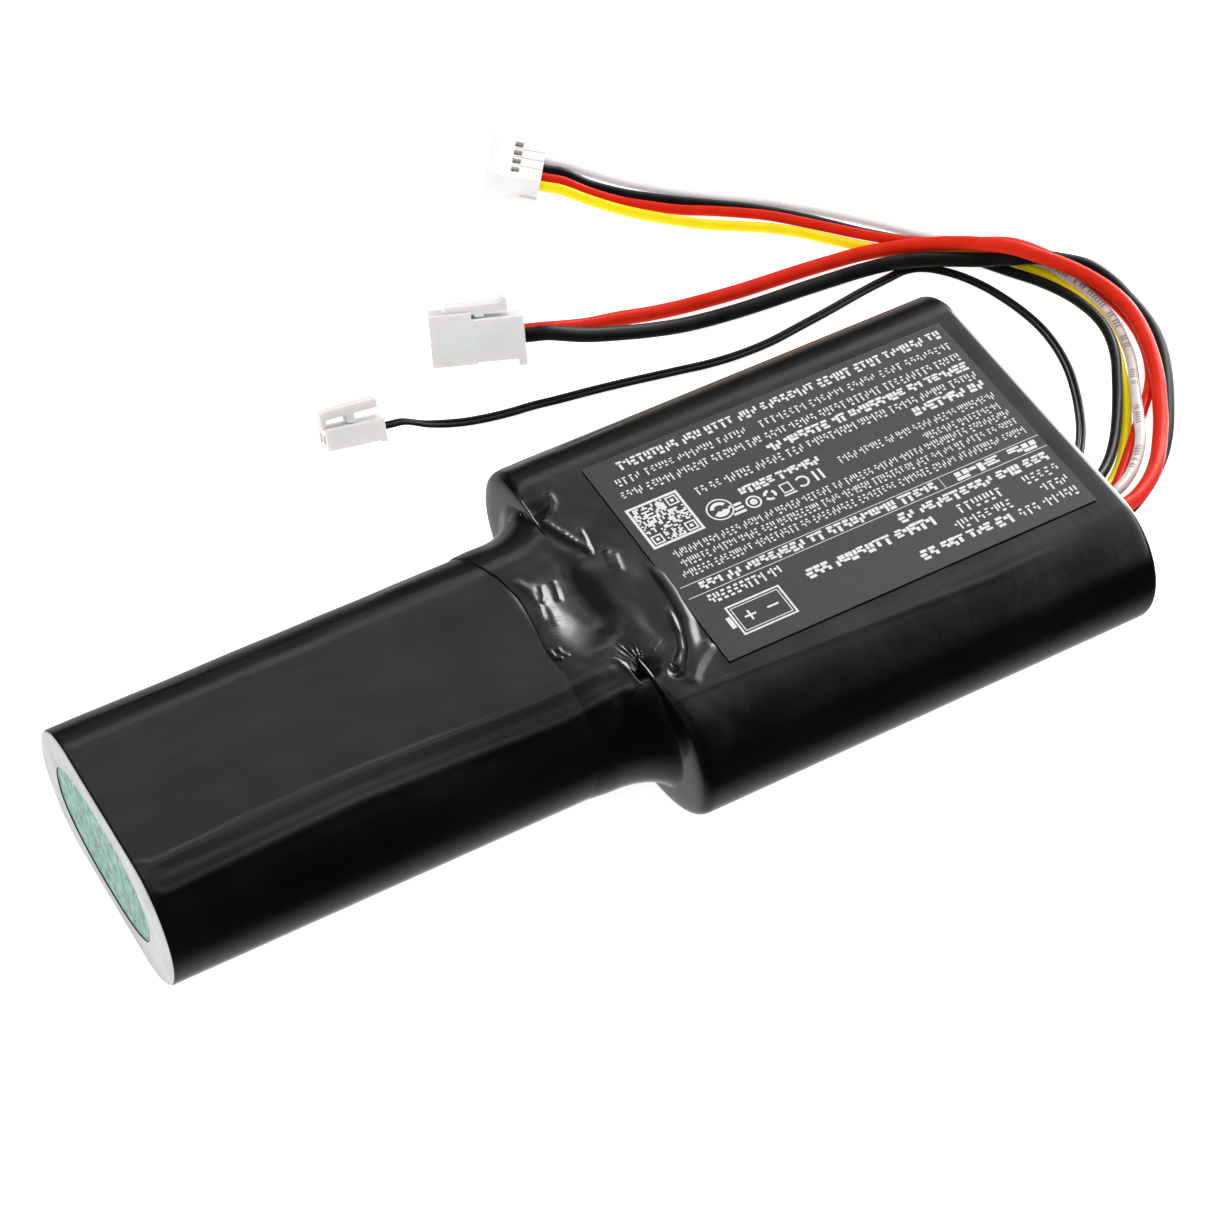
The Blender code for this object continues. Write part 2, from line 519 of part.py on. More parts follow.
def pierce(housing, name, connector):
    """Cut a contact cavity and a round wire hole through the housing at each way."""
    half = connector["cavity"] / 2
    rear = connector["size"][0] / 2
    depth = 0.28 * rear
    cavities = [((-rear - 1, y - half, -half), (depth, y + half, half)) for y in ways(connector)]
    combine(housing, "DIFFERENCE", name + "_cavity_cutter", boxes(cavities))
    radius = (connector["wire"] + HOLE_CLEARANCE) / 2
    holes = rods([(y, 0) for y in ways(connector)], radius, depth - 0.1, rear + 1)
    combine(housing, "DIFFERENCE", name + "_hole_cutter", holes)


def make_contacts(name, connector, frame, brass):
    """A square socket with a narrower crimped tail for each way."""
    rear = connector["size"][0] / 2
    half = connector["contact"] / 2
    wall, tail = 0.72, 0.55
    body_end = 0.2 * rear
    tail_end = rear - WIRE_ENTRY - 0.3

    def square(x, size, y):
        return [(x, y - size, -size), (x, y + size, -size), (x, y + size, size), (x, y - size, size)]

    for number, y in enumerate(ways(connector), 1):
        rings = [[(0.1 - rear * 0.45, y, 0)], square(0.1 - rear * 0.45, half * wall, y),
                 square(0.5 - rear, half * wall, y), square(0.5 - rear, half, y),
                 square(body_end, half, y), square(body_end, half * tail, y),
                 square(tail_end, half * tail, y), [(tail_end, y, 0)]]
        add_object(f"{name}_contact_{number}", loft(rings), brass, frame)


def make_balance_connector(plastic, brass):
    frame = hang("balance_frame", BALANCE)
    length, width, height = BALANCE["size"]
    half = (length / 2, width / 2, height / 2)
    low, high = tuple(-value for value in half), half
    housing = add_object("balance_housing", boxes([(low, high)]), plastic, frame)
    rib = boxes([((1.3, -half[1] - 0.35, -half[2] + 0.3), (3.9, -half[1] + 0.3, -half[2] + 1.0))])
    combine(housing, "UNION", "balance_rib", rib)
    pierce(housing, "balance", BALANCE)
    windows = [((-0.5, y - 0.6, 0.3), (0.7, y + 0.6, half[2] + 1)) for y in ways(BALANCE)]
    combine(housing, "DIFFERENCE", "balance_window_cutter", boxes(windows))
    between = [y + BALANCE["pitch"] / 2 for y in ways(BALANCE)[:-1]]
    grooves = [((-0.3, y - 0.13, half[2] - 0.2), (length, y + 0.13, half[2] + 1)) for y in between]
    combine(housing, "DIFFERENCE", "balance_groove_cutter", boxes(grooves))
    make_contacts("balance", BALANCE, frame, brass)


def make_power_connector(plastic, brass):
    frame = hang("power_frame", POWER)
    length, width, height = POWER["size"]
    x, y, z = length / 2, width / 2, height / 2
    flange, stand = 1.1, 0.9
    side = [(-x, -z), (x - flange, -z), (x - flange, -z - stand), (x, -z - stand), (x, z), (-x, z)]
    housing = add_object("power_housing", slab(side, -y, y, along="y"), plastic, frame)
    collar = [((-x, s * (y - 0.7) - 0.65, z - 0.3), (-0.6, s * (y - 0.7) + 0.65, z + 1.0)) for s in (-1, 1)]
    ribs = [((-x + 0.1, s * 1.6 - 0.4, -z - 0.5), (-0.2, s * 1.6 + 0.4, -z + 0.3)) for s in (-1, 1)]
    combine(housing, "UNION", "power_guides", boxes(collar + ribs))
    pierce(housing, "power", POWER)
    lever = [(-4.55, 3.0), (-3.6, 3.0), (-3.3, 3.6), (-0.15, 3.6), (-0.15, 3.06), (1.15, 3.06),
             (1.15, 3.6), (4.45, 3.6), (4.45, 5.5), (3.9, 5.6), (3.2, 4.8), (-3.9, 4.8), (-4.55, 4.2)]
    latch_shape = slab(lever, -2.3, 2.3, along="y")
    add_latch("power_latch", latch_shape, (0.5, 0, 2.98), plastic, frame)
    make_contacts("power", POWER, frame, brass)


def make_sensor_connector(plastic, brass):
    frame = hang("sensor_frame", SENSOR)
    length, width, height = SENSOR["size"]
    x, y, z = length / 2, width / 2, height / 2
    side = [(-x, -z), (x - 0.7, -z), (x - 0.7, -z - 0.25), (x, -z - 0.25), (x, z), (-x, z)]
    housing = add_object("sensor_housing", slab(side, -y, y, along="y"), plastic, frame)
    pierce(housing, "sensor", SENSOR)
    lever = [(-4.4, 1.56), (-3.8, 1.56), (-3.5, 2.55), (-0.7, 2.72), (-0.7, 1.6), (0.4, 1.6),
             (0.4, 2.78), (3.7, 2.95), (3.7, 4.1), (3.4, 4.2), (-3.9, 3.8), (-4.4, 3.4)]
    latch_shape = slab(lever, -1.5, 1.5, along="y")
    add_latch("sensor_latch", latch_shape, (-0.15, 0, 1.52), plastic, frame)
    make_contacts("sensor", SENSOR, frame, brass)


def add_latch(name, bm, hinge, plastic, frame):
    """A latch lever whose origin is on its hinge line."""
    bm.transform(Matrix.Translation(-Vector(hinge)))
    latch = add_object(name, bm, plastic, frame)
    latch.location = Vector(hinge) * MM


def make_connectors():
    plastic = material("white_nylon", (0.85, 0.84, 0.8), 0.4)
    brass = material("contact_brass", (0.75, 0.6, 0.3), 0.3, 1.0)
    make_balance_connector(plastic, brass)
    make_power_connector(plastic, brass)
    make_sensor_connector(plastic, brass)


clear_scene()
make_sleeves()
make_label()
make_papers()
make_cells()
make_tabs()
make_leads()
make_inner_leads()
make_fillers()
make_connectors()
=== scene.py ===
"""Looks of the battery pack: shrink film with its puckers and creases, the printed label, seven
jacketed leads and three nylon connectors, in a white studio. Lengths are in millimetres in the
CAD frame until MM turns them into metres."""
import math
import random

import bmesh
import bpy
import numpy as np
from mathutils import Euler, Matrix, Vector


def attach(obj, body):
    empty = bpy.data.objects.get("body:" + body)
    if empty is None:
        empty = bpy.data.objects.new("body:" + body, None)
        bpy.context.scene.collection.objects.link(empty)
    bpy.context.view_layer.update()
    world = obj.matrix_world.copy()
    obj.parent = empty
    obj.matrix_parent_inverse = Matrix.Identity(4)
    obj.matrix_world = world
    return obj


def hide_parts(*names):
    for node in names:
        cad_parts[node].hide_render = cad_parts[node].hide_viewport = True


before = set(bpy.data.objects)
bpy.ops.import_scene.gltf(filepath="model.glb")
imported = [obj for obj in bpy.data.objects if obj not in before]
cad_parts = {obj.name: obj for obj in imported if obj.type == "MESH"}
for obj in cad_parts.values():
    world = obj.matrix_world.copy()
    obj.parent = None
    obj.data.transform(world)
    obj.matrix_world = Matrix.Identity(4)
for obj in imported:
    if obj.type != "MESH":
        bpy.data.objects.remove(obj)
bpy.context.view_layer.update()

MM = 0.001
FRONT, REAR = -66.79, 66.79            # outer faces of the narrow end and of the wire end
AXIS_HEIGHT = 9.7                      # height of every cell's axis
WIDE_FLAT, NARROW_FLAT = 18.9, 9.45    # half width of each block between its round sides
ROUND, NARROW_ROUND = 9.7, 9.35        # radius of the wide and the narrow sleeve's round sides
NARROW_SHIFT = -0.8                    # the narrow block's middle, to the side of the wide one's
POWER_WIRE, TAP_WIRE, SENSOR_WIRE = 2.1, 1.5, 0.68    # diameters
SENSOR_SPACING = 0.7                   # between the middles of the sensor's two wires
WIRE_ENTRY = 1.0                       # how far a wire runs into its connector
LEAD_STEP = 0.5                        # between the sections of a lead's tube
PAIR_PARTS, PAIR_PARTED = 11.5, 4.5    # where the sensor's wires part, before their connector

# Connectors: place, attitude (yaw, pitch, roll) in degrees, size, and contact pitch
BALANCE = {"place": (37.41, 87.6, 3.25), "turn": (-36, -8, -6), "size": (8.0, 9.4, 4.2),
           "pitch": 2.0, "ways": 4}
POWER = {"place": (15.41, 58.2, 5.25), "turn": (-24, 2.5, -37), "size": (12.9, 7.9, 5.8),
         "pitch": 3.96, "ways": 2}
SENSOR = {"place": (-6.79, 52.5, 3.1), "turn": (-10, -2.6, -36), "size": (8.2, 5.0, 2.9),
          "pitch": 2.0, "ways": 2}

# Routes of the leads, from the wire end's mouth to a few millimetres from the connector
POWER_RED_ROUTE = [
    (65.8, -12.9, 8.2), (67.6, -12.9, 8.2), (70.2, -12.8, 7.9), (75.1, -11.7, 6.8), (79.6, -9.2, 5.7),
    (83.5, -5.9, 4.6), (86.6, -2.4, 3.7), (89.3, 1.0, 3.2), (91.5, 4.3, 3.0), (93.6, 7.6, 2.9),
    (95.4, 11.1, 2.8), (96.8, 14.6, 2.8), (97.8, 18.1, 2.8), (98.3, 21.5, 2.8), (98.1, 25.0, 2.8),
    (97.0, 28.3, 3.1), (95.1, 31.3, 3.7), (92.3, 34.3, 4.5), (89.3, 37.4, 5.1), (86.3, 40.6, 4.5),
    (83.1, 43.4, 3.8), (79.6, 45.7, 3.1), (76.0, 47.8, 2.4), (72.1, 49.5, 1.7), (67.9, 50.6, 1.2),
    (63.3, 51.2, 1.1), (58.5, 51.6, 1.1), (53.9, 52.0, 1.1), (49.3, 52.6, 1.1), (44.9, 53.3, 1.1),
    (40.4, 53.9, 1.5), (35.6, 54.5, 2.3), (30.3, 54.9, 3.2)]
POWER_BLACK_ROUTE = [
    (65.8, -12.7, 5.9), (67.6, -12.7, 5.9), (70.2, -12.6, 5.5), (75.8, -10.6, 4.3), (80.7, -7.7, 3.0),
    (84.6, -4.8, 1.9), (87.7, -2.1, 1.3), (90.3, 0.7, 1.1), (92.6, 3.7, 1.1), (94.7, 6.7, 1.1),
    (96.7, 9.9, 1.1), (98.5, 13.3, 1.1), (99.8, 16.9, 1.1), (100.4, 20.6, 1.1), (100.5, 24.2, 1.1),
    (99.9, 27.6, 1.8), (98.3, 30.7, 2.7), (95.9, 33.5, 2.7), (93.1, 35.7, 2.8), (89.5, 37.5, 2.8),
    (85.8, 39.6, 2.5), (82.2, 41.8, 2.4), (78.5, 43.8, 2.4), (74.5, 45.5, 2.1), (70.4, 46.8, 1.5),
    (66.0, 47.6, 1.1), (61.3, 48.0, 1.1), (56.5, 48.3, 1.1), (51.9, 48.7, 1.1), (47.3, 49.3, 1.1),
    (42.8, 49.8, 1.5), (38.3, 50.4, 2.3), (33.6, 51.0, 3.5), (28.6, 51.7, 5.0)]
TAP_WHITE_ROUTE = [
    (65.8, -9.6, 7.6), (67.6, -9.6, 7.6), (70.2, -9.6, 7.4), (74.2, -9.1, 6.6), (77.7, -7.3, 5.9),
    (80.8, -4.9, 5.5), (83.6, -1.9, 5.3), (86.1, 1.9, 4.5), (88.7, 5.8, 3.2), (91.3, 9.8, 2.1),
    (93.7, 13.7, 1.4), (95.4, 17.6, 0.8), (96.4, 21.6, 0.8), (96.6, 25.7, 0.8), (96.1, 30.0, 0.8),
    (94.9, 34.0, 0.8), (93.1, 37.6, 0.8), (90.4, 41.0, 0.8), (87.4, 44.2, 0.8), (84.5, 47.2, 0.8),
    (81.9, 50.0, 0.8), (79.4, 53.1, 0.8), (76.6, 56.3, 0.8), (73.6, 59.5, 0.8), (70.4, 62.7, 0.8),
    (67.2, 65.7, 0.8), (63.8, 68.4, 0.8), (60.4, 71.0, 0.8), (57.0, 73.8, 0.8), (53.7, 76.9, 0.8),
    (50.6, 80.2, 0.8), (47.6, 83.4, 1.2)]
TAP_BLACK_ROUTE = [
    (65.8, -6.6, 5.7), (67.6, -6.6, 5.7), (70.2, -6.3, 5.2), (74.9, -4.5, 4.3), (78.8, -1.7, 3.1),
    (82.1, 1.5, 2.3), (84.9, 4.8, 1.9), (87.3, 8.0, 1.8), (89.4, 11.1, 2.0), (91.3, 14.1, 2.2),
    (92.7, 17.1, 2.3), (93.5, 19.8, 2.3), (93.8, 22.3, 2.2), (93.7, 25.1, 2.0), (93.1, 28.7, 1.6),
    (91.5, 32.9, 1.2), (89.2, 37.0, 0.8), (86.7, 40.8, 0.8), (84.4, 44.6, 0.8), (81.4, 47.8, 0.8),
    (78.3, 50.9, 0.8), (75.2, 54.1, 0.8), (72.3, 57.5, 0.8), (69.3, 60.9, 0.8), (66.2, 64.0, 0.8),
    (62.9, 66.9, 0.8), (59.5, 69.5, 0.8), (56.0, 72.2, 0.8), (52.6, 75.0, 0.8), (49.3, 78.1, 0.8),
    (46.3, 81.3, 1.1)]
TAP_RED_ROUTE = [
    (65.8, -10.4, 5.6), (67.6, -10.4, 5.6), (70.4, -10.0, 5.5), (73.2, -8.9, 5.1), (76.4, -6.8, 4.6),
    (79.8, -3.9, 3.9), (83.6, -0.5, 3.2), (87.6, 3.3, 2.2), (91.9, 7.3, 1.4), (94.8, 10.7, 0.8),
    (96.5, 13.7, 0.8), (97.6, 16.6, 0.8), (98.3, 19.7, 0.8), (98.5, 22.9, 0.8), (98.3, 26.4, 0.8),
    (97.7, 30.3, 0.8), (96.9, 34.1, 0.8), (95.0, 37.6, 1.4), (91.9, 40.4, 2.3), (88.0, 42.7, 2.4),
    (84.1, 44.8, 2.4), (80.6, 47.2, 2.1), (77.4, 49.9, 1.9), (74.4, 53.0, 1.7), (71.4, 56.3, 1.6),
    (68.4, 59.6, 1.5), (65.3, 62.7, 1.5), (62.0, 65.5, 1.3), (58.6, 68.1, 1.1), (55.1, 70.7, 0.8),
    (51.7, 73.5, 0.8), (48.4, 76.6, 0.8), (45.4, 79.7, 1.3)]
TAP_YELLOW_ROUTE = [
    (65.8, -8.4, 5.7), (67.6, -8.4, 5.7), (70.2, -8.3, 5.2), (75.0, -6.3, 3.7), (79.2, -3.4, 2.5),
    (82.5, -0.2, 1.5), (85.3, 3.0, 1.0), (87.8, 6.3, 0.8), (89.9, 9.6, 0.8), (91.7, 13.2, 0.8),
    (93.3, 16.8, 0.8), (94.5, 20.7, 0.8), (94.9, 25.0, 0.8), (94.3, 29.9, 0.8), (92.8, 34.6, 0.8),
    (90.4, 38.6, 1.0), (87.3, 41.2, 2.5), (83.4, 43.4, 1.9), (80.0, 45.9, 1.1), (76.8, 48.8, 0.8),
    (73.6, 51.8, 0.8), (70.6, 55.0, 0.8), (67.6, 58.3, 0.8), (64.4, 61.1, 0.8), (60.9, 63.5, 0.8),
    (57.3, 65.9, 0.8), (53.9, 68.7, 0.8), (50.7, 71.7, 0.8), (47.5, 75.0, 0.9), (44.4, 78.2, 1.5)]
SENSOR_ROUTE = [
    (65.8, -4.4, 5.3), (67.6, -4.4, 5.3), (70.2, -4.0, 4.4), (74.8, 0.0, 3.8), (78.8, 4.6, 2.6),
    (81.8, 9.1, 1.5), (84.1, 13.3, 0.7), (85.8, 17.4, 0.4), (86.8, 21.9, 0.4), (87.0, 26.6, 0.4),
    (86.1, 32.1, 0.4), (84.4, 37.2, 0.4), (82.0, 41.2, 0.4), (79.3, 43.8, 0.4), (76.8, 44.7, 0.4),
    (73.5, 44.5, 0.4), (68.8, 44.0, 0.4), (63.4, 43.2, 0.4), (57.9, 42.5, 0.4), (52.7, 41.9, 0.4),
    (47.8, 41.9, 0.4), (43.2, 42.4, 0.4), (38.9, 43.3, 0.4), (34.7, 44.2, 0.4), (30.4, 45.1, 0.4),
    (26.1, 45.9, 0.4), (21.8, 46.6, 0.4), (18.0, 47.3, 0.4), (14.8, 47.7, 0.4), (11.6, 48.3, 0.4),
    (7.8, 49.1, 0.7), (3.5, 50.3, 1.5)]


# Objects and the camera

def add_object(name, data):
    item = bpy.data.objects.new(name, data)
    bpy.context.scene.collection.objects.link(item)
    return item


def object_from(bm, name, made_of):
    """A mesh object from a bmesh, which is freed."""
    mesh = bpy.data.meshes.new(name)
    bm.to_mesh(mesh)
    bm.free()
    mesh.materials.append(made_of)
    return add_object(name, mesh)


def add_box(bm, low, high):
    low, high = Vector(low), Vector(high)
    place = Matrix.Translation((low + high) / 2) @ Matrix.Diagonal((*(high - low), 1.0))
    bmesh.ops.create_cube(bm, size=1.0, matrix=place)


def make_camera():
    """The photograph's view, fitted to the pack's outline."""
    data = bpy.data.cameras.new("camera")
    data.sensor_width = 36.0
    data.lens = 105.88
    data.clip_start = 0.01
    camera = add_object("camera", data)
    right, up, back = (0.8675, -0.4973, 0.0085), (0.3719, 0.6600, 0.6528), (-0.3303, -0.5631, 0.7575)
    turn = Matrix((right, up, back)).transposed().to_4x4()
    camera.matrix_world = Matrix.Translation(Vector((-144.21, -249.99, 351.34)) * MM) @ turn
    bpy.context.scene.camera = camera


# Node helpers

def new_material(name, colour, roughness, **settings):
    """A Principled material with its constant settings on the shader's own sockets, and its tree."""
    made = bpy.data.materials.new(name)
    made.use_nodes = True
    shader = made.node_tree.nodes["Principled BSDF"]
    shader.inputs["Base Color"].default_value = (*colour, 1.0)
    shader.inputs["Roughness"].default_value = roughness
    for key, value in settings.items():
        shader.inputs[key.replace("_", " ")].default_value = value
    return made, made.node_tree


def add_node(tree, kind, **settings):
    node = tree.nodes.new(kind)
    for key, value in settings.items():
        if key in node.inputs:
            node.inputs[key].default_value = value
        else:
            setattr(node, key, value)
    return node


def noise(tree, scale, detail=3.0, rough=0.5, source="Object", stretch=(1, 1, 1)):
    """Noise of this scale, per metre of the object or per unit of UV, stretched where asked."""
    where = tree.nodes.new("ShaderNodeTexCoord")
    placed = add_node(tree, "ShaderNodeMapping", Scale=stretch)
    texture = add_node(tree, "ShaderNodeTexNoise", Scale=scale, Detail=detail, Roughness=rough)
    tree.links.new(where.outputs[source], placed.inputs["Vector"])
    tree.links.new(placed.outputs["Vector"], texture.inputs["Vector"])
    return texture.outputs["Fac"]


def spread(tree, value, low, high, start=0.3, end=0.7, **settings):
    """Map a value's range from start to end onto low to high."""
    ends = {"From Min": start, "From Max": end, "To Min": low, "To Max": high}
    node = add_node(tree, "ShaderNodeMapRange", **ends, **settings)
    tree.links.new(value, node.inputs["Value"])
    return node.outputs["Result"]


def blend_colours(tree, factor, first, second):
    node = add_node(tree, "ShaderNodeMix", data_type="RGBA")
    for socket, value in (("A", first), ("B", second)):
        target = next(s for s in node.inputs if s.name == socket and s.type == "RGBA")
        if isinstance(value, tuple):
            target.default_value = (*value, 1.0)
        else:
            tree.links.new(value, target)
    tree.links.new(factor, node.inputs["Factor"])
    return next(s for s in node.outputs if s.type == "RGBA")


def mottled(tree, scale, dark, light, detail=4, source="Object"):
    """A colour that drifts between two with noise of this scale."""
    share = spread(tree, noise(tree, scale, detail, source=source), 0, 1)
    return blend_colours(tree, share, dark, light)


def coordinates(tree, source):
    """The x, y and z of a texture coordinate."""
    where = tree.nodes.new("ShaderNodeTexCoord")
    parts = tree.nodes.new("ShaderNodeSeparateXYZ")
    tree.links.new(where.outputs[source], parts.inputs["Vector"])
    return parts.outputs


def compute(tree, operation, *values):
    """A math node's result. Of more than two values, the first two and then one more at a time."""
    node = add_node(tree, "ShaderNodeMath", operation=operation)
    for socket, value in zip(node.inputs, values[:2]):
        if isinstance(value, float):
            socket.default_value = value
        else:
            tree.links.new(value, socket)
    rest = values[2:]
    return compute(tree, operation, node.outputs[0], *rest) if rest else node.outputs[0]


def bump(tree, height, strength, distance):
    node = add_node(tree, "ShaderNodeBump", Strength=strength, Distance=distance)
    tree.links.new(height, node.inputs["Height"])
    tree.links.new(node.outputs["Normal"], tree.nodes["Principled BSDF"].inputs["Normal"])


def drive(tree, value, socket):
    tree.links.new(value, tree.nodes["Principled BSDF"].inputs[socket])


# Materials

def film_material(name, grain, lip_reflection=False):
    """Black shrink film: glossy, a little uneven. A lip is the turned-in edge at the narrow end; its pale
    grey is a painted reflection of the bright floor, not the film's own colour.
    """
    made, tree = new_material(name, (0.002, 0.002, 0.0022), 0.2, IOR=1.5)
    drive(tree, spread(tree, noise(tree, 140, 4), 0.14, 0.25), "Roughness")
    colour = mottled(tree, 60, (0.001, 0.001, 0.0012), (0.003, 0.003, 0.0033), 5)
    # painted reflection: the end face around the mouth is coloured pale grey for the bright floor it mirrors
    if lip_reflection:
        share = spread(tree, coordinates(tree, "Object")[0], 1, 0, (FRONT + 0.11) * MM, (FRONT + 0.17) * MM)
        colour = blend_colours(tree, share, colour, mottled(tree, 250, (0.4, 0.4, 0.41), (0.54, 0.54, 0.55)))
    drive(tree, colour, "Base Color")
    bump(tree, noise(tree, 420, 3, 0.6, stretch=grain), 0.35, 0.00006)
    return made


def label_material():
    """Matt black printed film."""
    made, tree = new_material("label_black", (0.016, 0.016, 0.017), 0.48, IOR=1.45)
    drive(tree, mottled(tree, 900, (0.013, 0.013, 0.014), (0.019, 0.019, 0.02)), "Base Color")
    drive(tree, spread(tree, noise(tree, 2500, 2), 0.42, 0.55), "Roughness")
    bump(tree, noise(tree, 5000, 2), 0.2, 0.00002)
    return made


def ink_material():
    made, tree = new_material("label_ink", (0.75, 0.75, 0.76), 0.5)
    drive(tree, mottled(tree, 4000, (0.62, 0.62, 0.63), (0.82, 0.82, 0.82), 3), "Base Color")
    return made


def jacket_material(name, dark, light, roughness, sheen=0.25):
    """Wire jacket: extruded plastic, with fine lines along the wire and slight colour drift."""
    made, tree = new_material(name, light, roughness, IOR=1.48, Specular_IOR_Level=sheen)
    drive(tree, mottled(tree, 0.25, dark, light, source="UV"), "Base Color")
    lines = noise(tree, 1.0, 2, source="UV", stretch=(0.15, 40, 1))
    drive(tree, spread(tree, lines, roughness - 0.06, roughness + 0.08), "Roughness")
    bump(tree, lines, 0.12, 0.00004)
    return made


TICK_LENGTH, TICK_ROW_END = 0.55, 64.0      # along the white lead, in millimetres
TICK_SIDE, TICK_HALF_WIDTH = 0.69, 0.1      # around it, in turns


def marked_jacket_material():
    """Translucent white jacket with rows of faint grey ticks along one side of the wire."""
    made = jacket_material("jacket_white", (0.6, 0.53, 0.52), (0.78, 0.71, 0.7), 0.32, 0.4)
    tree = made.node_tree
    shader = tree.nodes["Principled BSDF"]
    shader.inputs["Subsurface Weight"].default_value = 0.35
    shader.inputs["Subsurface Scale"].default_value = 0.0006
    plain = shader.inputs["Base Color"].links[0].from_socket
    run, turn, _ = coordinates(tree, "UV")

    def chance(cell, share, seed):
        """1 in a share of the cells of this length along the wire, and 0 in the others."""
        number = compute(tree, "ADD", compute(tree, "FLOOR", compute(tree, "DIVIDE", run, cell)), seed)
        texture = add_node(tree, "ShaderNodeTexWhiteNoise", noise_dimensions="1D")
        tree.links.new(number, texture.inputs["W"])
        return compute(tree, "LESS_THAN", texture.outputs["Value"], share)

    within = compute(tree, "FRACT", compute(tree, "DIVIDE", run, TICK_LENGTH))
    off = compute(tree, "ABSOLUTE", compute(tree, "SUBTRACT", compute(tree, "FRACT", turn), TICK_SIDE))
    tick = compute(tree, "MULTIPLY", chance(TICK_LENGTH, 0.6, 3.0), chance(4.6, 0.62, 11.0),
                   compute(tree, "LESS_THAN", within, 0.62), compute(tree, "LESS_THAN", off, TICK_HALF_WIDTH),
                   compute(tree, "LESS_THAN", run, TICK_ROW_END))
    plain = blend_colours(tree, spread(tree, run, 0, 1, 55, 80), plain, (0.88, 0.86, 0.86))
    share = compute(tree, "MULTIPLY", tick, 0.7)
    drive(tree, blend_colours(tree, share, plain, (0.12, 0.11, 0.12)), "Base Color")
    return made


def nylon_material(name, level, warm):
    """Natural nylon: nearly white and a little translucent, with a faint moulded texture."""
    made, tree = new_material(name, (level, level, level), 0.4, IOR=1.53, Subsurface_Weight=0.4,
                              Subsurface_Scale=0.0012, Specular_IOR_Level=0.35)
    dark, light = level - 0.03, level + 0.04
    drive(tree, mottled(tree, 250, (dark, dark, dark - warm), (light, light, light - warm)), "Base Color")
    drive(tree, spread(tree, noise(tree, 1500, 3), 0.3, 0.46), "Roughness")
    bump(tree, noise(tree, 2600, 2), 0.15, 0.00003)
    return made


def metal_material(name, dark, light, roughness):
    made, tree = new_material(name, light, roughness, Metallic=1.0)
    drive(tree, mottled(tree, 700, dark, light), "Base Color")
    drive(tree, spread(tree, noise(tree, 1800, 3), roughness - 0.08, roughness + 0.12), "Roughness")
    return made


def paper_material():
    """Green fish paper, mottled by its fibres."""
    made, tree = new_material("green_paper", (0.13, 0.28, 0.24), 0.85)
    fibres = noise(tree, 900, 6, 0.7, stretch=(1, 1, 0.6))
    share = spread(tree, fibres, 0, 1, 0.38, 0.62)
    green = blend_colours(tree, share, (0.13, 0.27, 0.24), (0.33, 0.47, 0.42))
    specks = spread(tree, noise(tree, 2600, 3, 0.6), 0, 0.6, 0.58, 0.66)
    drive(tree, blend_colours(tree, specks, green, (0.55, 0.6, 0.5)), "Base Color")
    bump(tree, fibres, 0.4, 0.00008)
    return made


def plain_material(name, dark, light, roughness):
    """Plain mottled finish for glue, gaskets, wraps and inner leads."""
    made, tree = new_material(name, light, roughness)
    drive(tree, mottled(tree, 500, dark, light), "Base Color")
    bump(tree, noise(tree, 1500, 2), 0.2, 0.00004)
    return made


BLACK_JACKET = (0.003, 0.003, 0.0035), (0.008, 0.008, 0.009)
JACKETS = {  # dark and light colour, roughness and, where it isn't the usual one, sheen
    "jacket_red": ((0.62, 0.013, 0.002), (0.72, 0.02, 0.004), 0.38, 0.16),
    "jacket_black": (*BLACK_JACKET, 0.4, 0.18),
    "jacket_black_thin": (*BLACK_JACKET, 0.36),
    "jacket_red_thin": ((0.6, 0.01, 0.001), (0.7, 0.016, 0.002), 0.34, 0.16),
    "jacket_yellow": ((0.84, 0.68, 0.002), (0.9, 0.76, 0.003), 0.34),
    "jacket_sensor": ((0.003, 0.003, 0.0035), (0.01, 0.01, 0.011), 0.4)}
METALS = {  # dark and light colour, and roughness
    "can_steel": ((0.5, 0.5, 0.51), (0.66, 0.66, 0.67), 0.3),
    "nickel": ((0.55, 0.53, 0.5), (0.72, 0.7, 0.66), 0.32),
    # painted shade: this contact metal is made much darker than brass, for the shade inside the balance
    # connector's windows
    "brass": ((0.03, 0.018, 0.008), (0.3, 0.2, 0.09), 0.3)}
PLAINS = {
    "cell_wrap": ((0.02, 0.13, 0.26), (0.03, 0.2, 0.36), 0.35),
    "gasket": ((0.7, 0.7, 0.66), (0.85, 0.85, 0.8), 0.6),
    "inner_jacket": ((0.1, 0.1, 0.3), (0.16, 0.16, 0.42), 0.45),
    "epoxy": ((0.01, 0.01, 0.01), (0.03, 0.03, 0.03), 0.2),
    "adhesive": ((0.7, 0.68, 0.6), (0.84, 0.82, 0.75), 0.55)}


def make_materials():
    made = {
        "film": film_material("film_wide", (1, 0.35, 1)),
        "film_narrow": film_material("film_narrow", (0.35, 1, 1), lip_reflection=True),
        "label": label_material(),
        "ink": ink_material(),
        "paper": paper_material(),
        "jacket_white": marked_jacket_material(),
        "nylon": nylon_material("nylon_balance", 0.76, 0.0),
        "nylon_power": nylon_material("nylon_power", 0.78, 0.0),
        "nylon_sensor": nylon_material("nylon_sensor", 0.77, 0.005)}
    for maker, table in ((jacket_material, JACKETS), (metal_material, METALS), (plain_material, PLAINS)):
        for name, settings in table.items():
            made[name] = maker(name, *settings)
    return made


# Meshes

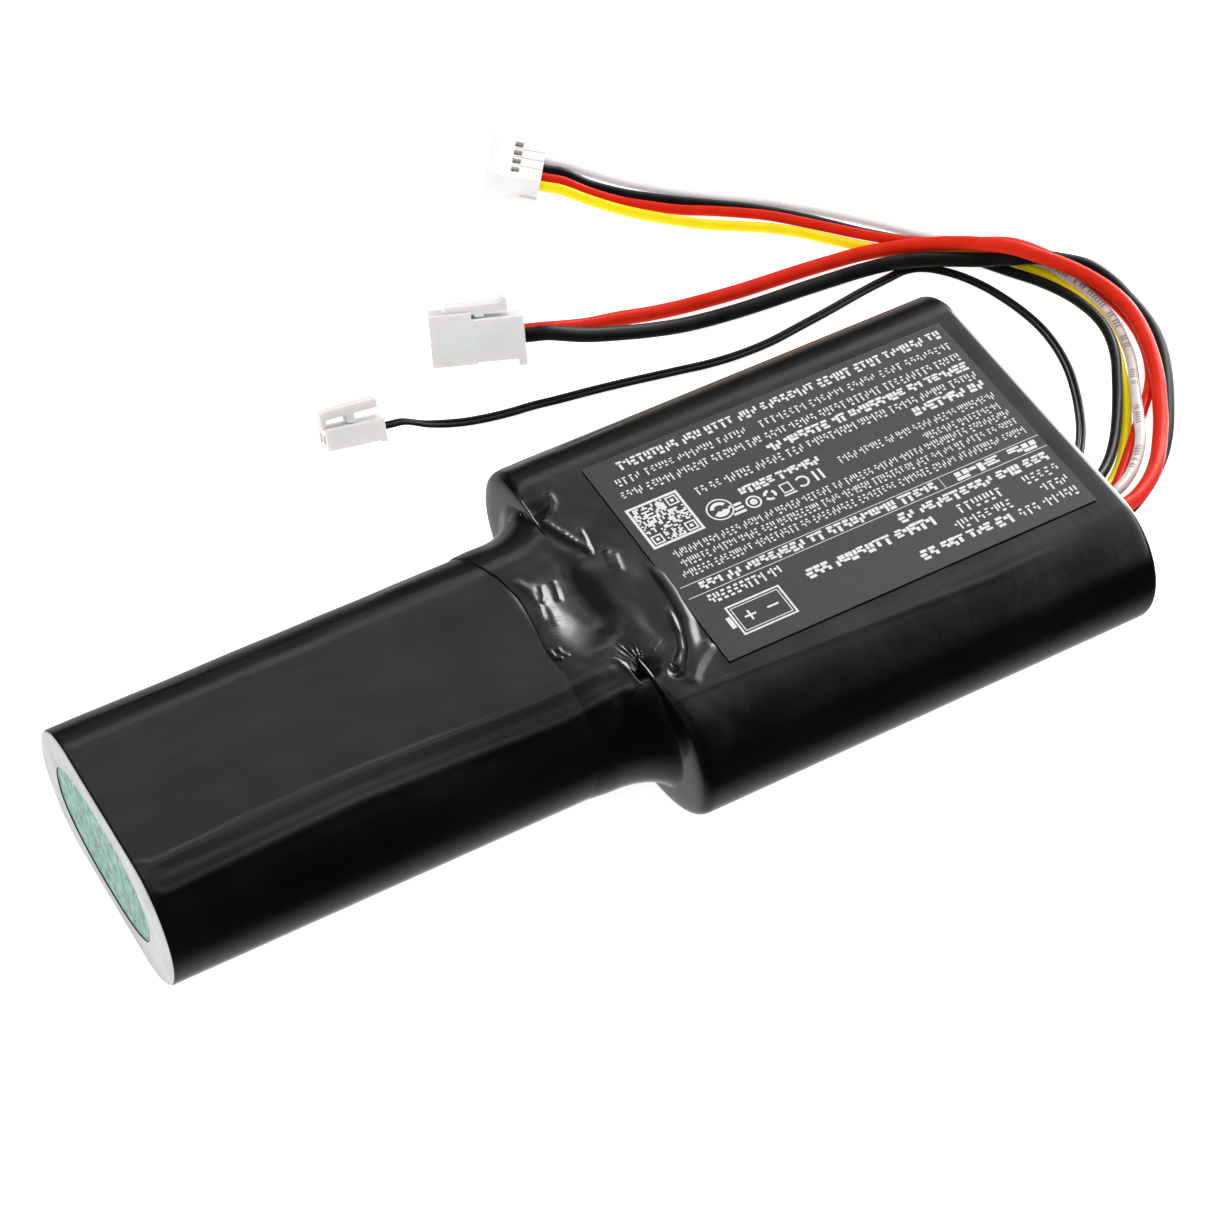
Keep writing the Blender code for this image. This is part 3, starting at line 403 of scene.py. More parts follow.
def make_mesh(name, points, faces, made_of, sharp=35):
    """A smooth-shaded mesh object, in metres, from points in millimetres, with faces outward."""
    points = np.asarray(points, dtype=float)
    faces = np.asarray(faces)
    corners = points[faces]
    volume = np.einsum("ij,ij->", corners[:, 0], np.cross(corners[:, 1], corners[:, 2]))
    volume += np.einsum("ij,ij->", corners[:, 0], np.cross(corners[:, 2], corners[:, -1]))
    if volume < 0:
        faces = faces[:, ::-1]
    mesh = bpy.data.meshes.new(name)
    mesh.from_pydata((points * MM).tolist(), [], faces.tolist())
    mesh.update()
    mesh.shade_smooth()
    mesh.set_sharp_from_angle(angle=math.radians(sharp))
    mesh.materials.append(made_of)
    return add_object(name, mesh)


def loop_faces(rows, columns, closed):
    """Quads of a grid that closes around its columns and, where asked, around its rows."""
    index = np.arange(rows * columns).reshape(rows, columns)
    beside = np.roll(index, -1, axis=1)
    ahead, corner = np.roll(index, -1, axis=0), np.roll(beside, -1, axis=0)
    quads = np.stack([index, beside, corner, ahead], axis=-1)
    return (quads if closed else quads[:-1]).reshape(-1, 4)


# Leads

def run_along(line):
    """The length from the start of a line of points to each of them."""
    return np.concatenate([[0.0], np.cumsum(np.linalg.norm(np.diff(line, axis=0), axis=1))])


def smooth(points, step):
    """Points about `step` apart along a centripetal Catmull-Rom curve through a route's points."""
    route = [Vector(point) for point in points]
    route = [2 * route[0] - route[1]] + route + [2 * route[-1] - route[-2]]
    dense = []
    for a, b, c, d in zip(route, route[1:], route[2:], route[3:]):
        t1 = math.sqrt((b - a).length)
        t2 = t1 + math.sqrt((c - b).length)
        t3 = t2 + math.sqrt((d - c).length)
        for k in range(24):
            t = t1 + (t2 - t1) * k / 24
            ab = a.lerp(b, t / t1)
            bc = b.lerp(c, (t - t1) / (t2 - t1))
            cd = c.lerp(d, (t - t2) / (t3 - t2))
            first, second = ab.lerp(bc, t / t2), bc.lerp(cd, (t - t1) / (t3 - t1))
            dense.append(first.lerp(second, (t - t1) / (t2 - t1)))
    dense.append(route[-2])
    dense = np.array([tuple(point) for point in dense])
    run = run_along(dense)
    want = np.linspace(0, run[-1], max(2, round(run[-1] / step) + 1))
    return np.stack([np.interp(want, run, dense[:, axis]) for axis in range(3)], axis=1)


def attitude(connector):
    yaw, pitch, roll = (math.radians(angle) for angle in connector["turn"])
    return Euler((roll, -pitch, yaw), "XYZ").to_matrix()


def way_offset(connector, way):
    return (way - (connector["ways"] - 1) / 2) * connector["pitch"]


def seat(connector, across):
    """The last points of a wire, straight into the housing's hole at this distance across."""
    turn, rear = attitude(connector), connector["size"][0] / 2
    middle = Vector(connector["place"])
    return [tuple(middle + turn @ Vector((rear + x, across, 0))) for x in (3.0, 1.2, -WIRE_ENTRY)]


def tube(name, line, diameter, made_of, sides):
    """A round wire along a line of points. Its UVs are the length in millimetres and the turn."""
    ahead = np.gradient(line, axis=0)
    ahead /= np.linalg.norm(ahead, axis=1, keepdims=True)
    beside = np.cross(ahead[0], (0, 0, 1))
    frames = []
    for direction in ahead:
        beside = beside - direction * np.dot(beside, direction)
        beside /= np.linalg.norm(beside)
        frames.append((beside, np.cross(direction, beside)))
    frames = np.array(frames)
    turns = np.linspace(0, 2 * math.pi, sides, endpoint=False)
    round_part = np.cos(turns)[:, None] * frames[:, None, 0] + np.sin(turns)[:, None] * frames[:, None, 1]
    points = (line[:, None] + round_part * diameter / 2).reshape(-1, 3)
    rows = len(line)
    quads = loop_faces(rows, sides, closed=False)
    item = make_mesh(name, points, quads, made_of, sharp=60)
    mesh = item.data
    close_ends(mesh, rows, sides)
    run = run_along(line)
    layer = mesh.uv_layers.new(name="along")
    for face in mesh.polygons:
        columns = [mesh.loops[k].vertex_index % sides for k in face.loop_indices]
        wraps = max(columns) - min(columns) > sides / 2
        for k, column in zip(face.loop_indices, columns):
            turned = column + sides if wraps and column < sides / 2 else column
            layer.data[k].uv = (run[mesh.loops[k].vertex_index // sides], turned / sides)
    return item


def close_ends(mesh, rows, sides):
    """Cap both ends of a tube with one flat face each."""
    bm = bmesh.new()
    bm.from_mesh(mesh)
    bm.verts.ensure_lookup_table()
    bm.faces.new([bm.verts[k] for k in range(sides)])
    bm.faces.new([bm.verts[(rows - 1) * sides + k] for k in range(sides)])
    bmesh.ops.recalc_face_normals(bm, faces=bm.faces)
    bm.to_mesh(mesh)
    bm.free()


def lay_cord(item, node):
    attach(item, "pack")
    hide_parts(node)


LEADS = [  # name, route, connector, its way, and finish
    ("power_red", POWER_RED_ROUTE, POWER, 1, "jacket_red"),
    ("power_black", POWER_BLACK_ROUTE, POWER, 0, "jacket_black"),
    ("tap_white", TAP_WHITE_ROUTE, BALANCE, 3, "jacket_white"),
    ("tap_black", TAP_BLACK_ROUTE, BALANCE, 2, "jacket_black_thin"),
    ("tap_red", TAP_RED_ROUTE, BALANCE, 1, "jacket_red_thin"),
    ("tap_yellow", TAP_YELLOW_ROUTE, BALANCE, 0, "jacket_yellow")]


def make_leads(finish):
    for name, route, connector, way, slot in LEADS:
        thick = connector is POWER
        diameter, sides = (POWER_WIRE, 24) if thick else (TAP_WIRE, 20)
        line = smooth(route + seat(connector, way_offset(connector, way)), LEAD_STEP)
        item = tube("lead_" + name, line, diameter, finish[slot], sides)
        lay_cord(item, "wire_" + name)
    make_sensor_pair(finish["jacket_sensor"])


def make_sensor_pair(made_of):
    """Two fine wires side by side, which part just before they enter their connector."""
    line = smooth(SENSOR_ROUTE + seat(SENSOR, 0.0), LEAD_STEP)
    row = np.array(attitude(SENSOR) @ Vector((0, 1, 0))) * SENSOR["pitch"] / 2
    ahead = np.gradient(line, axis=0)
    beside = np.stack([ahead[:, 1], -ahead[:, 0], 0 * ahead[:, 0]], axis=1)
    beside *= SENSOR_SPACING / 2 / np.linalg.norm(beside, axis=1, keepdims=True)
    left = np.linalg.norm(line[-1] - line, axis=1)
    part = ease(left, PAIR_PARTED, PAIR_PARTS)[:, None]
    for name, side in (("a", 1), ("b", -1)):
        shifted = line + side * (row * (1 - part) + beside * part)
        item = tube("lead_sensor_" + name, shifted, SENSOR_WIRE, made_of, 14)
        lay_cord(item, "wire_sensor_" + name)


# Film relief. Heights in millimetres over the flat top, as functions of the plan (x, y).

def ease(value, low, high):
    part = np.clip((value - low) / (high - low), 0, 1)
    return part * part * (3 - 2 * part)


def along(x, y, line):
    """Distance from a line of points, signed to its left, and how far along it, from 0 to 1."""
    line = np.asarray(line, dtype=float)
    steps = np.diff(line, axis=0)
    lengths = np.linalg.norm(steps, axis=1)
    starts = np.concatenate([[0.0], np.cumsum(lengths)])
    best, where, sign = np.full(x.shape, 1e9), np.zeros(x.shape), np.ones(x.shape)
    for (x0, y0), (dx, dy), length, start in zip(line, steps, lengths, starts):
        t = np.clip(((x - x0) * dx + (y - y0) * dy) / length ** 2, 0, 1)
        away = np.hypot(x - x0 - t * dx, y - y0 - t * dy)
        near = away < best
        best = np.where(near, away, best)
        where = np.where(near, start + t * length, where)
        sign = np.where(near, np.sign(dx * (y - y0) - dy * (x - x0)), sign)
    return best * sign, where / starts[-1]


def crease(x, y, line, height, width, lean=0.0, fade=0.18):
    """A ridge along a line, fading at both ends. A lean makes its left side steeper than its right."""
    away, where = along(x, y, line)
    side = np.where(away > 0, width * (1 - lean), width * (1 + lean))
    ends = ease(where, 0.0, fade) * ease(1 - where, 0.0, fade)
    return height * np.exp(-(away / side) ** 2) * ends


def dent(x, y, centre, depth, across, down):
    """A round dip, or a rise where the depth is negative."""
    return -depth * np.exp(-((x - centre[0]) / across) ** 2 - ((y - centre[1]) / down) ** 2)


def fan(x, y, centre, first, last, inner, outer, count, height, seed):
    """Radial pleats around a gathered point, between two angles and two radii."""
    dx, dy = x - centre[0], y - centre[1]
    angle = np.degrees(np.arctan2(dy, dx))
    angle = np.where(angle < first - 40, angle + 360, angle)
    part = (angle - first) / (last - first)
    radius = np.hypot(dx, dy)
    numbers = np.random.default_rng(seed)
    strength = numbers.uniform(0.45, 1.0, count + 2)
    reach = numbers.uniform(0.75, 1.0, count + 2) * outer
    turn = np.clip(part, -0.05, 1.05) * count + 0.5
    slot = np.clip(turn.astype(int), 0, count + 1)
    shape = np.clip(np.cos(2 * math.pi * (turn - slot - 0.5)), -0.6, 1)
    window = ease(part, -0.06, 0.05) * ease(1 - part, -0.06, 0.05)
    fade = ease(radius, inner * 0.5, inner) * (1 - ease(radius, reach[slot] * 0.45, reach[slot]))
    return height * strength[slot] * shape * window * fade


def ripple(x, y, size, seed):
    """Soft irregular waves about `size` long, between about -1 and 1."""
    numbers = np.random.default_rng(seed)
    total = np.zeros(x.shape)
    for _ in range(7):
        turn, phase, stretch = (numbers.uniform(*ends) for ends in ((0, math.pi), (0, 6.28), (0.7, 1.5)))
        wave = (x * math.cos(turn) + y * math.sin(turn)) * 2 * math.pi / (size * stretch)
        total += np.sin(wave + phase + 0.8 * np.sin(wave * 0.37 + 2 * phase))
    return total / 4


# Lines on the film, drawn in plan
EDGE = [(-10.9, 17.0), (-10.5, 12.5), (-8.9, 8.0), (-8.1, 4.0), (-8.4, 0.6), (-9.3, -5.0),
        (-9.4, -9.5), (-9.9, -16.0)]
BEAD_LINE = [(0.3, 13.6), (1.2, 10.8), (2.1, 8.3), (3.0, 6.5), (3.0, 5.2)]
UPPER_STREAK = [(-66.3, -9.6), (-65.0, -11.2), (-51.6, -10.5), (-37.7, -10.6), (-13.7, -11.8), (-2.4, -11.6)]
LOWER_STREAK = [(-66.2, -13.4), (-65.0, -14.9), (-39.4, -14.2), (-12.8, -15.2), (-1.7, -14.9)]
BETWEEN_STREAKS = [(-65.5, -12.6), (-51.0, -12.5), (-38.0, -12.4), (-12.8, -13.4), (-2.0, -13.2)]
BACK_STREAK = [(-66.0, 13.0), (-30.0, 11.6), (-9.2, 10.6), (-3.0, 11.0)]
FRONT_LINE = [(-6.0, -19.7), (12.1, -20.4), (45.4, -22.2), (60.0, -21.8)]
NECK_CREASES = [  # line, height, width and, where one side is steeper, lean
    ([(-4.6, 4.4), (-5.2, 2.3), (-6.2, 1.2)], 0.17, 0.385),
    ([(-2.9, 4.4), (-3.2, 2.7), (-3.8, 0.8)], 0.17, 0.33),
    ([(5.0, 5.1), (4.4, 1.9)], 0.238, 0.44),
    ([(5.7, 4.3), (4.7, 0.6)], 0.204, 0.44),
    ([(-7.2, 6.6), (-6.5, 3.5), (-6.6, 1.1), (-7.5, -1.8)], 0.153, 0.55),
    ([(-6.4, 5.4), (-5.6, 3.2), (-5.5, 0.2), (-6.2, -3.4)], 0.119, 0.66),
    ([(-9.0, -5.4), (-8.9, -7.0), (-8.0, -7.8)], 0.204, 0.275),
    ([(-8.0, -5.6), (-7.9, -6.9), (-7.2, -7.9)], 0.136, 0.275),
    ([(4.2, 10.0), (3.9, 9.0), (3.8, 7.9), (3.4, 6.3), (3.1, 4.6)], 0.16, 0.35, 0.4),
    ([(3.2, 17.2), (3.4, 16.2), (3.2, 15.1), (2.5, 14.3), (1.4, 13.9)], 0.16, 0.5),
    ([(-3.2, -10.2), (-2.4, -11.2), (-1.8, -13.2), (-1.5, -15.4)], 0.18, 0.3, 0.4),
    ([(8.5, 1.0), (8.4, -4.8), (7.7, -9.6), (6.1, -13.7), (3.4, -17.6)], 0.55, 0.7, -0.5),
    ([(7.0, -6.5), (6.1, -11.2), (5.0, -13.6), (2.0, -16.6)], 0.24, 0.35),
    ([(9.2, -14.3), (6.9, -15.6), (5.3, -16.7), (3.0, -19.2)], 0.42, 0.8, 0.2)]
NECK_FANS = [  # centre, first and last angle, inner and outer radius, number of pleats, height, seed
    ((-0.2, -13.3), 8, 138, 1.5, 5.2, 11, 0.15, 3), ((2.6, -16.9), 25, 120, 0.7, 4.2, 9, 0.16, 5)]
NECK_DENTS = [  # centre, depth, and radius along x and along y
    ((0.6, 15.3), 0.6, 1.3, 1.4), ((-0.1, -13.8), 0.8, 1.5, 1.3), ((2.6, -16.2), 0.45, 0.7, 0.8),
    ((4.2, -9.5), 0.16, 1.4, 4.0), ((-0.6, 2.0), 0.12, 1.1, 14.0), ((0.8, 3.0), -0.2, 1.5, 1.5),
    ((4.6, 1.2), -0.14, 2.0, 2.2), ((-3.7, -8.8), -0.12, 1.8, 1.2), ((-4.2, 8.0), 0.06, 3.0, 3.0)]


def long_streaks(x, y):
    """Creases along the narrow block's top edges, where the film was pulled lengthways."""
    total = crease(x, y, UPPER_STREAK, 0.11, 0.5, 0.2, 0.03)
    total += crease(x, y, LOWER_STREAK, 0.2, 0.5, 0.3, 0.03)
    total -= crease(x, y, BETWEEN_STREAKS, 0.12, 0.75, 0.0, 0.04)
    return total + crease(x, y, BACK_STREAK, 0.05, 0.5)


def valley(x, y):
    """The film's dip between the two blocks, deepest over the gap between the narrow block's cells."""
    across = 0.28 + 0.85 * np.exp(-((y - NARROW_SHIFT) / 5.6) ** 4)
    return across * ease(x, -9.0, -1.5) * (1 - ease(x, -1.6, 2.4))


def bead_row(x, y):
    """A ridge of small beads with a groove beside it, at the back of the neck."""
    away, where = along(x, y, BEAD_LINE)
    turn = 9.5 * where + 0.3 * np.sin(7 * where + 1) + 0.15 * np.sin(23 * where)
    size = 0.75 + 0.25 * np.sin(11 * where + 2)
    beads = size * (0.5 + 0.5 * np.cos(2 * math.pi * turn))
    ridge = (0.14 + 0.2 * beads) * np.exp(-((away - 0.1) / 0.45) ** 2)
    groove = 0.12 * np.exp(-((away + 0.9) / 0.7) ** 2)
    return (ridge - groove) * ease(where, 0, 0.1) * ease(1 - where, 0, 0.1)


def neck_relief(x, y):
    """The gathered film where the narrow block meets the wide one."""
    total = long_streaks(x, y) - valley(x, y) + bead_row(x, y)
    total += 0.06 * fan(x, y, (-13.5, -1.0), -24, 30, 4.5, 10.5, 13, 1.0, 8) * (1 - ease(x, -4.5, -2.0))
    for shape, places in ((crease, NECK_CREASES), (fan, NECK_FANS), (dent, NECK_DENTS)):
        for place in places:
            total += shape(x, y, *place)
    rough = ease(x, -11, -9) * (1 - ease(x, 7.5, 10))
    return total + rough * (0.06 * ripple(x, y, 7.0, 11) + 0.012 * ripple(x, y, 2.6, 12))


def wide_relief(x, y):
    near = (x > -14) & (x < 14)
    total = 0.012 * ripple(x, y, 14.0, 21) + crease(x, y, FRONT_LINE, 0.11, 0.4)
    total[near] += neck_relief(x[near], y[near]) * (1 - ease(x[near], 10, 13.5))
    return total


def narrow_relief(x, y):
    tucked = 1.1 * valley(x, y) + 0.25 * ease(x, -9.0, -7.0)
    return long_streaks(x, y) + 0.04 * ripple(x, y, 12.0, 31) + 0.006 * ripple(x, y, 3.5, 32) - tucked


# Sleeves

def unit_ring(back, top, front, low):
    """A section's points, so many on each side of it: their place from side to side on the flats,
    and their angle on the rounds."""
    sides = np.concatenate([np.ones(back), np.linspace(1, -1, top, endpoint=False), -np.ones(front),
                            np.linspace(-1, 1, low, endpoint=False)])
    angles = np.concatenate([np.linspace(-90, 90, back, endpoint=False), np.full(top, 90.0),
                             np.linspace(90, 270, front, endpoint=False), np.full(low, 270.0)])
    return sides, np.radians(angles)


def section_surface(sections, ring):
    """Points of a surface through sections, each (x, flat half width, round's width and height, y)."""
    x, flat, wide, high, shift = np.asarray(sections, dtype=float).T[:, :, None]
    sides, angles = ring
    y = shift + sides * flat + np.cos(angles) * wide
    z = AXIS_HEIGHT + np.sin(angles) * high
    return np.stack([np.broadcast_to(x, y.shape), y, z], axis=-1)


def normals_of(points):
    """Normals of a surface whose columns close into a ring, facing away from its middle line."""
    ahead = np.gradient(points, axis=0)
    around = np.roll(points, -1, axis=1) - np.roll(points, 1, axis=1)
    normal = np.cross(ahead, around)
    normal /= np.maximum(np.linalg.norm(normal, axis=2, keepdims=True), 1e-9)
    middle = points - (0, 0, AXIS_HEIGHT)
    facing = np.sign(np.median(np.sum(normal[..., 1:] * middle[..., 1:], axis=2)))
    return normal * facing


HIGHEST = 0.35                         # of the relief over the flat film
WIDE_FILM, NARROW_FILM = 0.22, 0.18    # thickness


def film_shell(name, outer, relief, thickness, made_of):
    """A closed film: the outer surface with its relief, and a plainer inner surface under it."""
    normal = normals_of(outer)
    up = ease(normal[..., 2], 0.25, 0.75)
    height = relief(outer[..., 0].copy(), outer[..., 1].copy()) * up
    height = np.where(height > 0, HIGHEST * np.tanh(height / HIGHEST), height)
    shown = outer + normal * height[..., None]
    last = len(outer) - 1
    keep = np.unique([0, 1, 2, *range(3, last - 2, 6), last - 2, last - 1, last])
    inner = (shown - normals_of(shown) * thickness)[keep]
    points = np.concatenate([shown, inner[::-1]])
    rows, columns = points.shape[:2]
    return make_mesh(name, points.reshape(-1, 3), loop_faces(rows, columns, closed=True), made_of, 50)


def steps_between(low, high, step):
    return np.linspace(low, high, max(2, round(abs(high - low) / step) + 1))


def wide_sections():
    """Sections of the wide sleeve from its edge on the neck to its mouth at the wire end."""
    web_start, depth, reach, gain = -6.79, 6.6, 5.35, 1.6
    neck, shoulder_end = NARROW_FLAT + ROUND, 1.45
    rows = [(x, NARROW_FLAT, radius, radius, NARROW_SHIFT) for x, radius in ((-11.19, 9.56), (-11.16, 9.65))]
    along_neck = steps_between(-11.05, web_start - 0.1, 0.2)
    rows += [(x, NARROW_FLAT, ROUND, ROUND, NARROW_SHIFT) for x in along_neck]
    for a in np.radians(np.linspace(0, 78, 40)):
        grown = 1 - math.cos(a)
        width = neck + reach * grown
        now = NARROW_FLAT + gain * grown
        rows.append((web_start + depth * math.sin(a), now, width - now, ROUND, NARROW_SHIFT * (1 - grown)))
    x0, f0, w0, _, y0 = rows[-1]
    for t in np.linspace(0, 1, 26)[1:]:
        x = x0 + (shoulder_end - x0) * (0.12 * t + 0.88 * t ** 4)
        swing = ease(t, 0.0, 1.0) * 0.45 + 0.55 * math.sin(t * math.pi / 2)
        rows.append((x, f0 + (WIDE_FLAT - f0) * swing, w0 + (ROUND - w0) * swing, ROUND, y0 * (1 - swing)))
    plain = np.concatenate([steps_between(1.6, 12.0, 0.2), steps_between(13.0, REAR - 2.0, 1.5)])
    rows += [(x, WIDE_FLAT, ROUND, ROUND, 0.0) for x in plain]
    return rows + end_sections(REAR, 1, WIDE_FLAT, ROUND, (17.0, 5.4), 0.0)


def narrow_sections():
    """Sections of the narrow sleeve from its mouth at the narrow end to under the wide sleeve."""
    rows = end_sections(FRONT, -1, NARROW_FLAT, NARROW_ROUND, (8.4, 4.8), NARROW_SHIFT, 0.5)[::-1]
    plain = steps_between(FRONT + 0.8, FRONT + 62.0, 0.5)
    return rows + [(x, NARROW_FLAT, NARROW_ROUND, NARROW_ROUND, NARROW_SHIFT) for x in plain]


MOUTH_ROWS = 8      # of the flat film around a mouth


def end_sections(end, out, flat, radius, mouth, shift, edge=1.1):
    """The round edge at an end of a sleeve and the flat film around its mouth."""
    rows = []
    for a in np.radians(np.linspace(0, 90, 12)):
        size = radius - edge * (1 - math.cos(a))
        rows.append((end - out * edge * (1 - math.sin(a)), flat, size, size, shift))
    inside = radius - edge
    for t in np.linspace(0, 1, MOUTH_ROWS + 1)[1:]:
        dip = 0.10 * math.sin(t * math.pi / 2)
        size = inside + (mouth[1] - inside) * t
        rows.append((end - out * dip, flat + (mouth[0] - flat) * t, size, size, shift))
    return rows


EDGE_BELOW = -10.6      # x of the cut edge underneath
EDGE_SINK = 0.36        # how far the cut edge sinks towards the narrow sleeve
EDGE_SETTLED = -5.5     # x from which the wide sleeve no longer follows its edge


def follow_edge(points, last):
    """Move the rows of the wide sleeve, up to the last x, onto its uneven cut edge."""
    ring_y, top = points[0, :, 1], points[0, :, 2] > AXIS_HEIGHT
    order = np.array(EDGE)[::-1]
    edge = np.interp(ring_y, order[:, 1], order[:, 0])
    edge = np.where(top, edge, EDGE_BELOW + 0.25 * np.sin(ring_y * 0.5))
    edge = np.convolve(np.concatenate([edge[-6:], edge, edge[:6]]), np.ones(13) / 13, mode="valid")
    start = points[0, 0, 0]
    x = points[..., 0].copy()
    part = np.clip((last - x) / (last - start), 0, 1)
    points[..., 0] = x + part * (edge[None, :] - start)
    sink = np.where(top, EDGE_SINK * (1 - 0.5 * ease(ring_y, 2.0, 8.0)), EDGE_SINK)
    axis_y = NARROW_SHIFT + np.clip(points[..., 1] - NARROW_SHIFT, -NARROW_FLAT, NARROW_FLAT)
    away = np.stack([0 * x, points[..., 1] - axis_y, points[..., 2] - AXIS_HEIGHT], axis=-1)
    away /= np.maximum(np.linalg.norm(away, axis=-1, keepdims=True), 1e-6)
    return points - away * (sink * part ** 2)[..., None]


MOUTH_MIDDLE, MOUTH_HALF = (0.4, 8.9), (13.2, 6.7)    # of the narrow end's mouth, in y and z
MOUTH_SQUARENESS = 2.4                                # 2 would be an ellipse


def shape_mouth(points, rows):
    """Draw the flat film at the narrow end in to its mouth, a rounded oval low in the end."""
    middle = np.array(MOUTH_MIDDLE)
    edge = points[rows, :, 1:] - middle
    ahead = edge / np.linalg.norm(edge, axis=1, keepdims=True)
    reach = (np.abs(ahead / MOUTH_HALF) ** MOUTH_SQUARENESS).sum(axis=1) ** (-1 / MOUTH_SQUARENESS)
    inner = ahead * reach[:, None]
    for row in range(rows):
        points[row, :, 1:] = middle + edge + (inner - edge) * (1 - row / rows)
    return points


def make_sleeves(finish):
    wide = follow_edge(section_surface(wide_sections(), unit_ring(80, 190, 110, 40)), EDGE_SETTLED)
    sleeve = film_shell("film_wide", wide, wide_relief, WIDE_FILM, finish["film"])
    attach(sleeve, "pack")
    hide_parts("wide_sleeve")
    narrow = shape_mouth(section_surface(narrow_sections(), unit_ring(70, 120, 90, 60)), MOUTH_ROWS)
    sleeve = film_shell("film_narrow", narrow, narrow_relief, NARROW_FILM, finish["film_narrow"])
    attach(sleeve, "pack")
    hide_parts("narrow_sleeve")


# Label print. In the label's own plan, `s` runs along the lines of print and `t` down the page.
# It is greeked: strokes that keep the rhythm of small type and spell nothing.

LABEL_RIGHT, LABEL_TOP = 63.81, -19.2     # where s and t start, in x and y
LABEL_FACE = 19.62                        # the label's upper face
INK = 0.02                                # thickness of the print
STROKES = [  # strokes of one mark, each (left, top, right, bottom) in shares of its cell
    [(0.0, 0.0, 0.26, 1.0), (0.5, 0.55, 0.85, 0.8)],
    [(0.0, 0.35, 0.26, 1.0), (0.52, 0.0, 0.78, 0.62)],
    [(0.05, 0.0, 0.8, 0.2), (0.25, 0.4, 0.95, 0.6), (0.0, 0.8, 0.7, 1.0)],
    [(0.1, 0.0, 0.85, 0.24), (0.0, 0.45, 0.3, 1.0), (0.6, 0.45, 0.88, 1.0)],
    [(0.0, 0.1, 0.28, 0.55), (0.45, 0.4, 0.9, 0.62), (0.1, 0.78, 0.8, 1.0)],
    [(0.3, 0.0, 0.6, 0.7), (0.0, 0.82, 0.9, 1.0)]]
LINES = [  # t of the middle, height, and runs of print, each (start, end, weight, share of width)
    (3.75, 1.5, [(1.8, 7.3, 0.7, 0.72), (7.7, 11.3, 0.7, 0.72), (11.7, 25.4, 1.25, 0.8)]),
    (5.9, 1.5, [(1.8, 8.4, 0.7, 0.72), (10.4, 19.5, 0.7, 0.72)]),
    (8.15, 1.5, [(1.8, 7.5, 0.7, 0.72), (10.4, 19.8, 0.7, 0.78), (20.5, 40.0, 1.25, 0.8)]),
    (10.35, 1.5, [(1.8, 25.6, 1.25, 0.8)]),
    (12.9, 1.4, [(1.8, 15.2, 1.3, 1.6), (17.1, 53.4, 1.2, 0.78)]),
    *[(t, 1.25, [(start, end, 0.75, 0.56)]) for t, start, end in (
        (15.6, 1.8, 53.2), (17.35, 1.8, 52.3), (19.1, 1.8, 52.6), (20.75, 2.3, 14.6), (22.65, 1.8, 26.1))],
    (24.1, 1.3, [(27.6, 40.3, 1.25, 0.8)]),
    (25.1, 1.4, [(1.8, 13.1, 1.35, 0.82)]),
    (26.9, 1.35, [(1.8, 45.0, 0.75, 0.62)]),
    (28.85, 1.35, [(1.8, 34.5, 1.3, 0.8)]),
    (30.75, 1.35, [(1.8, 53.2, 0.75, 0.6)]),
    (33.0, 1.25, [(1.8, 31.6, 0.7, 0.72), (33.1, 53.2, 0.7, 0.72)]),
    (35.45, 1.45, [(1.8, 53.2, 1.0, 0.7)])]


def word_strokes(numbers, start, end, middle, height, weight, share):
    """Strokes of a run of words between two places along a line."""
    strokes, s = [], start
    cell, step = height * share, 0.88 * height * share
    while s + cell * 2 < end:
        for _ in range(numbers.randint(2, 9)):
            if s + cell > end:
                break
            rise = numbers.choice((0.0, 0.0, 0.22))
            for left, top, right, bottom in numbers.choice(STROKES):
                width = (right - left) * min(1.25 * weight * (1.0 if right - left < 0.4 else 0.8), 1.5)
                thick = min(1.25 * weight, 1.4) if bottom - top < 0.3 else 1.0
                low = middle + height * (rise + top * (1 - rise) - 0.5)
                high = low + height * (bottom - top) * (1 - rise) * thick
                strokes.append((s + left * step, low, s + (left + width) * step, high))
            s += cell * numbers.uniform(0.92, 1.08)
        s += cell * 0.5
    return strokes


def frame_strokes(left, top, right, bottom, line):
    """A rectangle's outline as four bars that don't touch."""
    gap = 0.01
    return [(left, top, right, top + line), (left, bottom - line, right, bottom),
            (left, top + line + gap, left + line, bottom - line - gap),
            (right - line, top + line + gap, right, bottom - line - gap)]


def matrix_strokes(numbers, left, top, size, cells):
    """A made-up square pattern of white cells in a frame, with nested squares in three corners."""
    pitch = size / cells
    strokes = frame_strokes(left - 0.45, top - 0.45, left + size + 0.45, top + size + 0.45, 0.36)
    corner = 6
    far = cells - corner - 2

    def kept(row, column):
        """Whether a cell is in one of the three corners with a nested square."""
        low, high = min(row, column), max(row, column)
        return high <= corner or (low <= corner and high > far)

    for row in range(cells):
        start = None
        for column in range(cells + 1):
            lit = column < cells and not kept(row, column) and numbers.random() < 0.52
            if lit and start is None:
                start = column
            if not lit and start is not None:
                strokes.append((left + start * pitch, top + row * pitch, left + column * pitch - 0.02,
                                top + (row + 0.93) * pitch))
                start = None
    for u, v in ((0, 0), (cells - corner, 0), (0, cells - corner)):
        a, b, side = left + u * pitch, top + v * pitch, corner * pitch
        strokes += frame_strokes(a + 0.1, b + 0.1, a + side - 0.1, b + side - 0.1, 0.22)
        strokes.append((a + side * 0.36, b + side * 0.36, a + side * 0.64, b + side * 0.64))
    return strokes


def add_strokes(bm, strokes):
    for s0, t0, s1, t1 in strokes:
        add_box(bm, (LABEL_RIGHT - s1, LABEL_TOP + t0, LABEL_FACE),
                (LABEL_RIGHT - s0, LABEL_TOP + t1, LABEL_FACE + INK))


